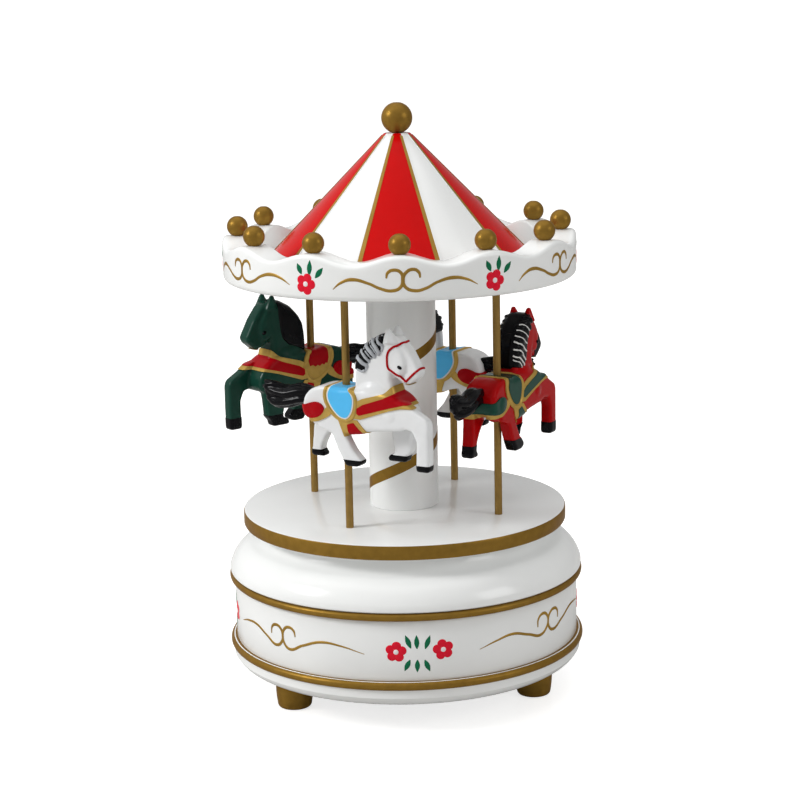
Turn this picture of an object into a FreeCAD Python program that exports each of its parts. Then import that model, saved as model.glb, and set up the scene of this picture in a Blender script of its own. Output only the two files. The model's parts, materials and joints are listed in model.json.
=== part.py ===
"""Wooden wind-up carousel music box: a turned base with the movement inside, and a roundabout that it turns.

Millimetres, +Z up. The origin is on the table, under the centre of the base. Azimuth angles run from the
front, -Y, towards +X. Local X of a horse is the way it gallops, which is anticlockwise seen from above.
"""

import FreeCAD, Part
import math
import os
import Sketcher

os.makedirs("parts", exist_ok=True)
DOC = FreeCAD.newDocument("carousel_music_box")
SHEET = DOC.addObject("Spreadsheet::Sheet", "sizes")

# ---------------------------------------------------------------- driving sizes
SIZES = {
    # base
    "foot_height": 8.4,
    "foot_top_radius": 5.4,
    "foot_bottom_radius": 4.9,
    "foot_rounding": 1.2,
    "foot_inset": 10.25,
    "foot_turn": 65.4,
    "foot_tenon_radius": 2.2,
    "foot_tenon_length": 5.0,
    "bottom_tuck": 2.9,
    "bottom_taper_height": 3.0,
    "bottom_flare": 0.9,
    "bottom_thickness": 7.8,
    "bead_half": 1.25,
    "bead_stand": 0.75,
    "drum_radius": 51.0,
    "drum_height": 17.6,
    "movement_room": 1.1,
    "moulding_bead_half": 1.1,
    "moulding_bead_stand": 0.55,
    "moulding_flare": 1.3,
    "moulding_straight": 1.7,
    "shoulder_inset": 4.7,
    "shoulder_height": 7.0,
    "neck_inset": 8.4,
    "neck_height": 4.2,
    "shoulder_wall": 15.0,
    "top_cavity_height": 5.2,
    # turntable, column, poles
    "table_gap": 1.0,
    "table_radius": 47.75,
    "table_thickness": 4.6,
    "table_edge": 0.7,
    "column_radius": 10.2,
    "column_height": 68.6,
    "tenon_radius": 5.0,
    "tenon_length": 3.0,
    "pole_radius": 1.1,
    "pole_circle": 31.5,
    "pole_turn": 60.0,
    "pole_seat": 3.0,
    # canopy
    "board_thickness": 4.0,
    "crown_radius": 51.5,
    "crown_top_radius": 51.1,
    "crown_wall": 8.4,
    "crown_crest": 12.5,
    "wave_depth": 2.3,
    "wave_width": 20.6,
    "crown_edge": 1.6,
    "roof_radius": 39.6,
    "roof_slope_height": 37.1,
    "roof_tip_radius": 3.9,
    "finial_radius": 4.5,
    "finial_sink": 0.15,
    "ball_radius": 3.05,
    "ball_circle": 46.9,
    "ball_sink": 0.5,
    "peg_radius": 0.8,
    "peg_length": 4.5,
    # horses
    "horse_length": 41.4,
    "horse_width": 10.0,
    "neck_width": 6.8,
    "leg_width": 3.2,
    "tail_width": 3.4,
    "ride_height": 18.3,
    # drive
    "running_gap": 0.05,
    "hub_flange_radius": 9.0,
    "hub_flange": 2.0,
    "hub_radius": 3.5,
    "hub_drop": 7.5,
    "bush_radius": 6.0,
    "bush_length": 6.0,
    "bush_flange": 1.2,
    "bush_flange_radius": 8.5,
    "shaft_radius": 1.5,
    # movement
    "bedplate": 1.6,
    "bedplate_left": 15.0,
    "bedplate_right": 37.2,
    "bedplate_front": 18.0,
    "bedplate_back": 15.6,
    "bedplate_cut": 7.0,
    "lug_thickness": 1.4,
    "lug_near": 16.0,
    "lug_far": 35.6,
    "arbor_radius": 2.0,
    "ratchet_radius": 6.0,
    "ratchet_thickness": 1.2,
    "ratchet_teeth": 14,
    "ratchet_lift": 0.5,
    "barrel_radius": 12.0,
    "barrel_wall": 1.0,
    "barrel_height": 10.8,
    "barrel_lift": 0.6,
    "barrel_cover": 1.0,
    "crown_gear_teeth": 50,
    "crown_gear_outer": 15.0,
    "crown_gear_inner": 12.7,
    "crown_gear_tooth": 1.1,
    "pinion_teeth": 10,
    "pinion_pitch_radius": 2.78,
    "cylinder_radius": 6.0,
    "cylinder_start": 18.2,
    "cylinder_length": 14.6,
    "pin_height": 0.4,
    "arbor_small": 1.0,
    "great_teeth": 32,
    "governor_pinion_teeth": 8,
    "great_pitch_radius": 7.68,
    "great_start": 33.6,
    "great_thickness": 1.3,
    "governor_swing": 69.6,
    "governor_teeth": 12,
    "governor_pitch_radius": 2.52,
    "governor_wheel_place": 27.0,
    "governor_wheel_thickness": 0.8,
    "worm_pitch_radius": 1.2,
    "fly_radius": 5.0,
    "fly_height": 4.6,
    "fly_thickness": 0.5,
    "comb_length": 12.0,
    "comb_thickness": 0.9,
    "comb_teeth": 18,
    "comb_gap": 0.25,
    # key
    "key_hole_radius": 4.4,
    "key_socket_radius": 3.0,
    "key_wing_span": 11.0,
    "key_wing_height": 5.6,
    "key_wing_thickness": 1.6,
    "key_floor_gap": 1.2,
}

HORSE_NAMES = ("horse_white_front", "horse_red", "horse_white_back", "horse_green")
HORSE_SWINGS = (0, 0, 0, -21)  # degrees that each horse is turned on its pole, from straight along the ring
HORSE_LIFTS = (0.0, -0.6, -0.6, 3.3)
ROOF_BALLS = 12
BEAD_FULLNESS = 1.02  # radius of a bead's round, as a share of its half height
TOOTH_ROOT = 0.26  # half width of a tooth's root, as a share of the pitch
TOOTH_TIP = 0.13  # half width of a tooth's tip, as a share of the pitch


class Size:
    """A number together with the spreadsheet expression that gives it."""

    def __init__(self, value, text):
        self.value = value
        self.text = text

    @staticmethod
    def of(other):
        return other if isinstance(other, Size) else Size(float(other), f"{float(other):.9g}")

    def combine(self, other, sign, flip=False):
        left, right = (Size.of(other), self) if flip else (self, Size.of(other))
        results = {
            "+": lambda a, b: a + b,
            "-": lambda a, b: a - b,
            "*": lambda a, b: a * b,
            "/": lambda a, b: a / b,
        }
        return Size(results[sign](left.value, right.value), f"({left.text} {sign} {right.text})")

    def __add__(self, other):
        return self.combine(other, "+")

    def __radd__(self, other):
        return self.combine(other, "+", True)

    def __sub__(self, other):
        return self.combine(other, "-")

    def __rsub__(self, other):
        return self.combine(other, "-", True)

    def __mul__(self, other):
        return self.combine(other, "*")

    def __rmul__(self, other):
        return self.combine(other, "*", True)

    def __truediv__(self, other):
        return self.combine(other, "/")

    def __rtruediv__(self, other):
        return self.combine(other, "/", True)

    def __neg__(self):
        return self.combine(0, "-", True)


def cosine(angle):
    angle = Size.of(angle)
    return Size(math.cos(math.radians(angle.value)), f"cos({angle.text})")


def sine(angle):
    angle = Size.of(angle)
    return Size(math.sin(math.radians(angle.value)), f"sin({angle.text})")


def root(square):
    return Size(math.sqrt(square.value), f"sqrt({square.text})")


def write_sheet():
    """Fills the spreadsheet and returns every size under its alias."""
    sizes = {}
    for row, (alias, value) in enumerate(SIZES.items(), start=1):
        SHEET.set(f"A{row}", alias)
        SHEET.set(f"B{row}", str(value))
        SHEET.setAlias(f"B{row}", alias)
        sizes[alias] = Size(float(value), f"sizes.{alias}")
    DOC.recompute()
    return sizes


D = write_sheet()
PARTS = []


# ---------------------------------------------------------------- modelling helpers
def keep(item, name):
    """Names a finished sub-part and puts it on the list that is written out."""
    item.Label = name
    PARTS.append(item)
    return item


def bind(item, prop, size):
    item.setExpression(prop, Size.of(size).text)


def place(item, x=0, y=0, z=0, turn=0, axis=(0, 0, 1)):
    """Binds the whole placement: a point, and a turn in degrees about an axis."""
    x, y, z, turn = (Size.of(v) for v in (x, y, z, turn))
    way = f"create(<<vector>>; {axis[0]}; {axis[1]}; {axis[2]})"
    item.setExpression(
        "Placement",
        f"create(<<placement>>; create(<<vector>>; {x.text}; {y.text}; {z.text});"
        f" create(<<rotation>>; {way}; {turn.text}))",
    )


def polar(radius, azimuth):
    """The point at an azimuth measured from the front towards +X."""
    return radius * sine(azimuth), -(radius * cosine(azimuth))


def new_body(name):
    return DOC.addObject("PartDesign::Body", name)


def new_sketch(body, role, offset=0.0, turn=0.0):
    """A sketch on one of the body's own origin planes, moved along its normal and turned about it."""
    sketch = body.newObject("Sketcher::SketchObject", body.Name + "_sketch")
    plane = next(f for f in body.Origin.OriginFeatures if f.Role == role)
    sketch.AttachmentSupport = (plane, [""])
    sketch.MapMode = "FlatFace"
    offset, turn = Size.of(offset), Size.of(turn)
    sketch.setExpression(
        "AttachmentOffset",
        f"create(<<placement>>; create(<<vector>>; 0; 0; {offset.text});"
        f" create(<<rotation>>; create(<<vector>>; 0; 0; 1); {turn.text}))",
    )
    return sketch


def drive(sketch, constraint, size):
    """Adds a dimension to a sketch and binds it to the spreadsheet."""
    index = sketch.addConstraint(constraint)
    sketch.setExpression(f"Constraints[{index}]", Size.of(size).text)


def bulge(start, end, radius, side):
    """The middle point of the minor arc of that radius from start to end; side 1 is to the right of the chord."""
    dx, dy = end[0] - start[0], end[1] - start[1]
    chord = math.hypot(dx, dy)
    rise = radius - math.sqrt(max(radius**2 - chord**2 / 4, 0.0))
    return (start[0] + end[0]) / 2 + side * rise * dy / chord, (start[1] + end[1]) / 2 - side * rise * dx / chord


def outline(sketch, points):
    """A closed outline. A point is (x, y), or (x, y, radius, side) where an arc leaves it for the next point."""
    corners = [(Size.of(p[0]), Size.of(p[1])) for p in points]
    flat = [(x.value, y.value) for x, y in corners]
    count = len(points)
    first = sketch.GeometryCount
    ends = []
    for i, point in enumerate(points):
        a, b = flat[i], flat[(i + 1) % count]
        start, end = FreeCAD.Vector(*a, 0), FreeCAD.Vector(*b, 0)
        if len(point) == 4:
            middle = FreeCAD.Vector(*bulge(a, b, Size.of(point[2]).value, point[3]), 0)
            sketch.addGeometry(Part.Arc(start, middle, end))
            # a sketch keeps every arc anticlockwise, so a clockwise one has its ends exchanged
            ends.append((1, 2) if point[3] > 0 else (2, 1))
        else:
            sketch.addGeometry(Part.LineSegment(start, end))
            ends.append((1, 2))
    for i in range(count):
        following = (i + 1) % count
        sketch.addConstraint(
            Sketcher.Constraint("Coincident", first + i, ends[i][1], first + following, ends[following][0])
        )
    for i, (x, y) in enumerate(corners):
        at = (first + i, ends[i][0])
        drive(sketch, Sketcher.Constraint("DistanceX", -1, 1, *at, x.value), x)
        drive(sketch, Sketcher.Constraint("DistanceY", -1, 1, *at, y.value), y)
        if len(points[i]) == 4:
            radius = Size.of(points[i][2])
            drive(sketch, Sketcher.Constraint("Radius", first + i, radius.value), radius)


def circle(sketch, x, y, radius):
    x, y, radius = Size.of(x), Size.of(y), Size.of(radius)
    index = sketch.addGeometry(
        Part.Circle(FreeCAD.Vector(x.value, y.value, 0), FreeCAD.Vector(0, 0, 1), radius.value)
    )
    drive(sketch, Sketcher.Constraint("DistanceX", -1, 1, index, 3, x.value), x)
    drive(sketch, Sketcher.Constraint("DistanceY", -1, 1, index, 3, y.value), y)
    drive(sketch, Sketcher.Constraint("Radius", index, radius.value), radius)


def feature(body, kind, sketch, length=None):
    """Adds a pad or a pocket of a sketch to a body."""
    step = body.newObject(f"PartDesign::{kind}", body.Name + "_" + kind.lower())
    step.Profile = sketch
    if length is not None:
        bind(step, "Length", length)
    sketch.Visibility = False
    return step


def turn(body, points):
    """Spins an outline of (radius, height) points about the body's vertical axis."""
    sketch = new_sketch(body, "XZ_Plane")
    outline(sketch, points)
    step = feature(body, "Revolution", sketch)
    step.ReferenceAxis = (sketch, ["V_Axis"])
    step.Angle = 360.0
    return body


def pad(body, role, start, length, points=None, disc=None, turn_by=0.0):
    sketch = new_sketch(body, role, start, turn_by)
    if disc is not None:
        circle(sketch, *disc)
    else:
        outline(sketch, points)
    return feature(body, "Pad", sketch, length)


def drill(body, top, depth, holes):
    """Sinks round holes, each (x, y, radius), downwards from a height."""
    sketch = new_sketch(body, "XY_Plane", top)
    for hole in holes:
        circle(sketch, *hole)
    return feature(body, "Pocket", sketch, depth)


def repeat(body, step, count):
    """Repeats the body's last feature round the vertical axis."""
    pattern = body.newObject("PartDesign::PolarPattern", body.Name + "_pattern")
    pattern.Originals = [step]
    pattern.Axis = (step.Profile[0], ["N_Axis"])
    pattern.Angle = 360.0
    pattern.Occurrences = int(count.value)
    bind(pattern, "Occurrences", count)
    body.Tip = pattern
    return pattern


def copy_of(master, name):
    """A placed copy of a master piece."""
    item = DOC.addObject("Part::Compound", name)
    item.Links = [master]
    return item


def join(name, items):
    """Several loose solids that share one node."""
    group = DOC.addObject("Part::Compound", name)
    group.Links = items
    return keep(group, name)


def tooth(pitch_radius, root_radius, tip_radius, teeth):
    """The outline of one straight-sided tooth that points along +X."""
    pitch = pitch_radius * (2 * math.pi) / teeth
    return [
        (root_radius * 0.9, -(pitch * TOOTH_ROOT)),
        (tip_radius, -(pitch * TOOTH_TIP)),
        (tip_radius, pitch * TOOTH_TIP),
        (root_radius * 0.9, pitch * TOOTH_ROOT),
    ]


# ---------------------------------------------------------------- heights and places worked out from the sizes
foot_circle = D["drum_radius"] - D["foot_inset"]
moulding_radius = D["drum_radius"] + D["moulding_flare"]
top_cavity_radius = D["drum_radius"] - D["shoulder_wall"]
bedplate_corner = D["bedplate_front"] - D["bedplate_cut"] / 2
bedplate_reach = root(D["bedplate_right"] * D["bedplate_right"] + bedplate_corner * bedplate_corner)
drum_inner = bedplate_reach + D["movement_room"]
drum_floor = D["foot_height"] + D["bottom_thickness"]
drum_top = drum_floor + D["drum_height"]
moulding_bead_top = drum_top + D["moulding_bead_half"] * 2
shoulder_top = moulding_bead_top + D["moulding_straight"] + D["shoulder_height"]
neck_top = shoulder_top + D["neck_height"]
table_floor = neck_top + D["table_gap"]
table_top = table_floor + D["table_thickness"]
canopy_floor = table_top + D["column_height"]
board_top = canopy_floor + D["board_thickness"]
crest_top = canopy_floor + D["crown_crest"]
crown_inner = D["crown_top_radius"] - D["crown_wall"]
roof_top = board_top + D["roof_slope_height"]
pole_azimuths = [D["pole_turn"] - 90 + 90 * i for i in range(4)]

plate_top = drum_floor + D["bedplate"]
ratchet_floor = plate_top + D["ratchet_lift"]
barrel_floor = ratchet_floor + D["ratchet_thickness"] + D["barrel_lift"]
barrel_top = barrel_floor + D["barrel_height"]
crown_gear_root = barrel_top - D["barrel_wall"]
crown_gear_pitch = crown_gear_root - D["crown_gear_tooth"] * 0.6
cylinder_axis = crown_gear_pitch - D["pinion_pitch_radius"]
governor_pinion_radius = D["great_pitch_radius"] * D["governor_pinion_teeth"] / D["great_teeth"]
train_centres = D["great_pitch_radius"] + governor_pinion_radius
governor_offset = train_centres * sine(D["governor_swing"])
governor_axis = cylinder_axis - train_centres * cosine(D["governor_swing"])
worm_offset = governor_offset + D["governor_pitch_radius"] + D["worm_pitch_radius"]
worm_lead = D["governor_pitch_radius"] * (2 * math.pi) / D["governor_teeth"]


# ---------------------------------------------------------------- base
def make_base_bottom():
    """The turned bottom of the base, with a half-round bead at its top edge and holes for feet, key and screws."""
    body = new_body("base_bottom")
    floor = D["foot_height"]
    bead_low = drum_floor - D["bead_half"] * 2
    turn(body, [
        (0, floor),
        (D["drum_radius"] - D["bottom_tuck"], floor, D["bottom_taper_height"] * 2, 1),
        (D["drum_radius"] + D["bottom_flare"], floor + D["bottom_taper_height"]),
        (D["drum_radius"] + D["bead_stand"], bead_low, D["bead_half"] * BEAD_FULLNESS, 1),
        (D["drum_radius"] + D["bead_stand"], drum_floor),
        (0, drum_floor),
    ])
    feet = [(*polar(foot_circle, az), D["foot_tenon_radius"]) for az in foot_azimuths()]
    drill(body, floor + D["foot_tenon_length"], D["foot_tenon_length"] + 1, feet)
    drill(body, drum_floor, D["bottom_thickness"] + 1, [(0, 0, D["key_hole_radius"])])
    drill(body, drum_floor, D["bottom_thickness"] + 1, [(x, y, screw_shank()) for x, y in movement_screw_places()])
    drill(body, drum_floor, D["bottom_thickness"] + 1, [(x, y, screw_shank()) for x, y in base_screw_places()])
    sink = [(x, y, screw_head() + 0.2) for x, y in movement_screw_places() + base_screw_places()]
    drill(body, floor + screw_sink(), screw_sink() + 1, sink)
    keep(body, "base_bottom")


def screw_shank():
    return Size.of(1.0)


def screw_head():
    return Size.of(2.1)


def screw_sink():
    return Size.of(1.9)


def foot_azimuths():
    return [D["foot_turn"] + 120 * i for i in range(3)]


def base_screw_places():
    middle = drum_inner + 3.0
    return [polar(middle, az + 60) for az in foot_azimuths()]


def movement_screw_places():
    back = D["bedplate_back"] - 3.0
    return [
        (-(D["bedplate_left"] - 3.0), back),
        (-(D["bedplate_left"] - 3.0), -back),
        (D["bedplate_right"] - 6.0, back),
    ]


def make_screw(name, length):
    """A countersunk wood screw standing head down, its head's face at height 0."""
    body = new_body(name)
    head = screw_head()
    turn(body, [
        (0, 0),
        (head, 0),
        (head, 0.4),
        (screw_shank(), 1.5),
        (screw_shank(), length - 1.4),
        (0.15, length),
        (0, length),
    ])
    sketch = new_sketch(body, "XY_Plane", 0.5)
    outline(sketch, [(-head - 1, -0.3), (head + 1, -0.3), (head + 1, 0.3), (-head - 1, 0.3)])
    feature(body, "Pocket", sketch, 2.0)
    return body


def make_screws():
    """Screws that hold the bottom to the drum, and the movement to the bottom."""
    floor = D["foot_height"] + 0.2
    groups = {
        "base_screws": (base_screw_places(), D["bottom_thickness"] + 8.0),
        "movement_screws": (movement_screw_places(), D["bottom_thickness"] + D["bedplate"] + 0.5),
    }
    for name, (places, length) in groups.items():
        master = make_screw(name + "_master", length)
        copies = []
        for i, (x, y) in enumerate(places):
            item = copy_of(master, f"{name}_{i + 1}")
            place(item, x, y, floor)
            copies.append(item)
        join(name, copies)


def make_feet():
    """Three turned knobs, each glued into the bottom by its tenon."""
    body = new_body("foot_master")
    low, top, soft = D["foot_bottom_radius"], D["foot_top_radius"], D["foot_rounding"]
    turn(body, [
        (0, 0),
        (low - soft, 0, soft * 1.02, 1),
        (low, soft),
        (top, D["foot_height"] * 0.75),
        (top, D["foot_height"]),
        (D["foot_tenon_radius"], D["foot_height"]),
        (D["foot_tenon_radius"], D["foot_height"] + D["foot_tenon_length"]),
        (0, D["foot_height"] + D["foot_tenon_length"]),
    ])
    for i, azimuth in enumerate(foot_azimuths()):
        item = keep(copy_of(body, f"foot_{i + 1}"), f"foot_{i + 1}")
        place(item, *polar(foot_circle, azimuth), 0)


def make_drum():
    """The plain turned wall between the two beads."""
    body = new_body("base_drum")
    turn(body, [
        (drum_inner, drum_floor),
        (D["drum_radius"], drum_floor),
        (D["drum_radius"], drum_top),
        (drum_inner, drum_top),
    ])
    length = Size.of(8.2)
    drill(body, drum_floor + length, length + 1, [(x, y, screw_shank()) for x, y in base_screw_places()])
    keep(body, "base_drum")


def make_base_top():
    """The turned shoulder over the drum: bead, rounded shoulder, hollow neck, and the hole for the bush."""
    body = new_body("base_top")
    face = moulding_bead_top + D["moulding_straight"]
    cavity = drum_top + D["top_cavity_height"]
    turn(body, [
        (top_cavity_radius, drum_top),
        (D["drum_radius"] + D["moulding_bead_stand"], drum_top, D["moulding_bead_half"] * BEAD_FULLNESS, 1),
        (D["drum_radius"] + D["moulding_bead_stand"], moulding_bead_top),
        (moulding_radius, moulding_bead_top + 0.3),
        (moulding_radius, face, D["shoulder_height"] * 1.4, 1),
        (D["drum_radius"] - D["shoulder_inset"], shoulder_top, D["neck_height"] * 1.4, -1),
        (D["drum_radius"] - D["neck_inset"], neck_top),
        (D["bush_radius"], neck_top),
        (D["bush_radius"], cavity),
        (top_cavity_radius, cavity),
    ])
    keep(body, "base_top")


def make_bush():
    """The flanged bush that carries the turntable's hub."""
    body = new_body("top_bush")
    cavity = drum_top + D["top_cavity_height"]
    bore = D["hub_radius"] + D["running_gap"]
    turn(body, [
        (bore, cavity - D["bush_flange"]),
        (D["bush_flange_radius"], cavity - D["bush_flange"]),
        (D["bush_flange_radius"], cavity),
        (D["bush_radius"], cavity),
        (D["bush_radius"], cavity + D["bush_length"]),
        (bore, cavity + D["bush_length"]),
    ])
    keep(body, "top_bush")


# ---------------------------------------------------------------- turntable, column and poles
def make_turntable():
    """The disc that the horses ride on, with sockets for the hub, the column and the poles."""
    body = new_body("turntable")
    edge = D["table_edge"]
    rim = D["table_radius"]
    turn(body, [
        (0, table_floor),
        (rim - edge, table_floor, edge * 1.02, 1),
        (rim, table_floor + edge),
        (rim, table_top - edge, edge * 1.02, 1),
        (rim - edge, table_top),
        (0, table_top),
    ])
    poles = [(*polar(D["pole_circle"], az), D["pole_radius"]) for az in pole_azimuths]
    drill(body, table_top, D["pole_seat"], poles)
    drill(body, table_top, D["tenon_length"] - 0.6, [(0, 0, D["tenon_radius"])])
    drill(body, table_floor + D["hub_flange"], D["hub_flange"] + 1, [(0, 0, D["hub_flange_radius"])])
    keep(body, "turntable")


def make_hub():
    """The metal hub let into the underside of the turntable and screwed on the movement's output shaft."""
    body = new_body("drive_hub")
    low = table_floor - D["hub_drop"]
    turn(body, [
        (D["shaft_radius"], low),
        (D["hub_radius"], low),
        (D["hub_radius"], table_floor),
        (D["hub_flange_radius"], table_floor),
        (D["hub_flange_radius"], table_floor + D["hub_flange"]),
        (D["shaft_radius"], table_floor + D["hub_flange"]),
    ])
    keep(body, "drive_hub")


def make_column():
    body = new_body("column")
    radius, tenon = D["column_radius"], D["tenon_radius"]
    low, high = table_top - (D["tenon_length"] - 0.6), canopy_floor + D["tenon_length"]
    turn(body, [
        (0, low),
        (tenon, low),
        (tenon, table_top),
        (radius, table_top),
        (radius, canopy_floor),
        (tenon, canopy_floor),
        (tenon, high),
        (0, high),
    ])
    keep(body, "column")


def make_poles():
    """Four plain rods, seated in the turntable and the canopy board."""
    master = DOC.addObject("Part::Cylinder", "pole_master")
    bind(master, "Radius", D["pole_radius"])
    bind(master, "Height", D["column_height"] + D["pole_seat"] * 2)
    for i, azimuth in enumerate(pole_azimuths):
        item = keep(copy_of(master, f"pole_{i + 1}"), f"pole_{i + 1}")
        place(item, *polar(D["pole_circle"], azimuth), table_top - D["pole_seat"])


# ---------------------------------------------------------------- canopy
def make_canopy_board():
    body = new_body("canopy_board")
    turn(body, [(0, canopy_floor), (crown_inner, canopy_floor), (crown_inner, board_top), (0, board_top)])
    poles = [(*polar(D["pole_circle"], az), D["pole_radius"]) for az in pole_azimuths]
    drill(body, canopy_floor + D["pole_seat"], D["pole_seat"] + 1, poles)
    drill(body, canopy_floor + D["tenon_length"], D["tenon_length"] + 1, [(0, 0, D["tenon_radius"])])
    keep(body, "canopy_board")


def make_crown():
    """The thick ring round the canopy, its top edge cut in shallow waves between the balls."""
    body = new_body("crown_ring")
    edge = D["crown_edge"]
    turn(body, [
        (crown_inner, canopy_floor),
        (D["crown_radius"] - edge, canopy_floor, edge * 1.05, 1),
        (D["crown_radius"], canopy_floor + edge),
        (D["crown_top_radius"], crest_top - edge, edge * 1.05, 1),
        (D["crown_top_radius"] - edge, crest_top),
        (crown_inner + edge * 0.5, crest_top),
        (crown_inner, crest_top - edge * 0.5),
    ])
    half, deep = D["wave_width"] / 2, D["wave_depth"]
    bend = (half * half + deep * deep) / (deep * 2)
    sketch = new_sketch(body, "YZ_Plane", D["crown_radius"] + 1)
    outline(sketch, [
        (-half, crest_top, bend, 1),
        (half, crest_top),
        (half, crest_top + 1),
        (-half, crest_top + 1),
    ])
    step = feature(body, "Pocket", sketch, D["crown_wall"] + 4)
    axis = new_sketch(body, "XY_Plane")
    pattern = body.newObject("PartDesign::PolarPattern", "crown_waves")
    pattern.Originals = [step]
    pattern.Axis = (axis, ["N_Axis"])
    pattern.Angle = 360.0
    pattern.Occurrences = ROOF_BALLS
    body.Tip = pattern
    place(body, turn=180 / ROOF_BALLS)
    seats = new_sketch(body, "XY_Plane", crest_top)
    for i in range(ROOF_BALLS):
        x, y = polar(D["ball_circle"], (i + 0.5) * 360 / ROOF_BALLS)
        circle(seats, x, y, D["peg_radius"])
    feature(body, "Pocket", seats, D["peg_length"])
    keep(body, "crown_ring")


def make_roof():
    """The solid turned cone, with a socket for the finial."""
    body = new_body("roof_cone")
    turn(body, [
        (0, board_top),
        (D["roof_radius"], board_top),
        (D["roof_radius"], board_top + 0.6),
        (D["roof_tip_radius"], roof_top),
        (0, roof_top),
    ])
    drill(body, roof_top, D["peg_length"] + 1, [(0, 0, D["peg_radius"] * 2)])
    keep(body, "roof_cone")


def make_ball(name, radius, sink, peg):
    """A turned ball with a flat seat and a peg; height 0 is the face that it sits on."""
    body = new_body(name)
    rise = radius - sink
    seat = root(radius * radius - rise * rise)
    turn(body, [
        (0, -D["peg_length"]),
        (peg, -D["peg_length"]),
        (peg, 0),
        (seat, 0, radius, 1),
        (radius, rise, radius, 1),
        (0, rise + radius),
    ])
    return body


def make_balls():
    finial = keep(make_ball("finial_ball", D["finial_radius"], D["finial_sink"], D["peg_radius"] * 2), "finial_ball")
    place(finial, z=roof_top)
    master = make_ball("rim_ball_master", D["ball_radius"], D["ball_sink"], D["peg_radius"])
    for i in range(ROOF_BALLS):
        item = keep(copy_of(master, f"rim_ball_{i + 1:02d}"), f"rim_ball_{i + 1:02d}")
        place(item, *polar(D["ball_circle"], i * 360 / ROOF_BALLS), crest_top)


# ---------------------------------------------------------------- horses
# Outlines seen from the horse's right side, in millimetres for a horse 41.4 long: ahead of the pole, and above
# a level just under the lowest hoof.
HORSE_DRAWN_LENGTH = 41.4
TORSO = [
    (-11.4, 14.6), (-12.0, 17.4), (-11.3, 20.2), (-9.4, 22.2), (-6.4, 23.3), (-3.0, 23.5), (0.5, 22.8),
    (3.3, 23.0), (10.0, 23.0), (15.6, 22.8), (18.6, 21.2), (20.9, 19.0), (22.2, 16.6), (22.2, 14.0),
    (20.6, 12.4), (12.0, 11.7), (6.1, 10.7), (3.0, 10.3), (-2.0, 11.8), (-7.0, 12.4),
]
NECK = [
    (4.4, 18.0), (4.6, 24.0), (4.8, 28.0), (6.5, 33.8), (9.1, 37.0), (13.0, 39.3), (16.2, 40.9), (18.4, 40.3),
    (19.2, 37.8), (21.8, 34.3), (23.9, 30.6), (24.8, 29.0), (24.2, 27.6), (21.4, 25.3), (19.2, 25.9),
    (15.9, 27.6), (16.2, 25.0), (19.0, 18.0),
]
FORE_LEG = [
    (16.0, 17.5), (18.0, 20.9), (21.5, 20.3), (25.6, 17.8), (28.1, 16.5), (28.9, 15.0), (28.8, 1.6),
    (24.7, 1.6), (24.9, 10.0), (23.6, 12.8), (20.5, 13.2), (16.0, 12.5),
]
BENT_LEG = [
    (13.4, 14.0), (20.8, 14.5), (20.0, 9.8), (19.6, 5.2), (18.2, 3.9), (17.9, 2.2), (12.2, 2.2), (12.1, 3.4),
    (14.4, 4.6), (13.9, 6.6),
]
HIND_LEG = [
    (-9.5, 16.0), (-2.0, 17.0), (1.6, 11.5), (2.8, 8.7), (4.6, 5.6), (7.2, 2.9), (7.2, 1.9), (5.6, 1.1),
    (2.2, 1.1), (0.9, 3.3), (-0.5, 5.8), (-2.2, 9.9), (-6.5, 11.7),
]
BACK_LEG = [
    (-11.8, 15.5), (-12.2, 10.8), (-12.9, 4.0), (-13.4, 2.2), (-12.9, 1.4), (-8.9, 1.4), (-10.0, 3.2),
    (-9.4, 5.3), (-8.0, 7.8), (-5.5, 10.5), (-3.0, 14.0),
]
TAIL = [
    (-10.0, 21.6), (-15.0, 22.3), (-20.0, 21.2), (-24.4, 22.6), (-28.0, 22.4), (-27.2, 18.0), (-23.7, 15.0),
    (-19.5, 15.3), (-15.5, 17.0), (-10.5, 17.6),
]


def make_horses():
    """One moulded horse, made of padded outlines and bored for its pole, placed four times."""
    body = new_body("horse_master")
    scale = D["horse_length"] / HORSE_DRAWN_LENGTH

    def slab(shape, middle, width):
        points = [(scale * x, scale * z) for x, z in shape]
        pad(body, "XZ_Plane", middle - width / 2, width, points)

    side = (D["horse_width"] - D["leg_width"]) / 2
    slab(TORSO, Size.of(0), D["horse_width"])
    slab(NECK, Size.of(0), D["neck_width"])
    slab(FORE_LEG, side, D["leg_width"])
    slab(BENT_LEG, -side, D["leg_width"])
    slab(HIND_LEG, side, D["leg_width"])
    slab(BACK_LEG, -side, D["leg_width"])
    slab(TAIL, Size.of(0), D["tail_width"])
    drill(body, scale * 24, scale * 24 + 1, [(0, 0, D["pole_radius"])])
    for name, azimuth, lift, swing in zip(HORSE_NAMES, pole_azimuths, HORSE_LIFTS, HORSE_SWINGS):
        item = keep(copy_of(body, name), name)
        place(item, *polar(D["pole_circle"], azimuth), table_top + D["ride_height"] + lift, azimuth + swing)


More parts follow.
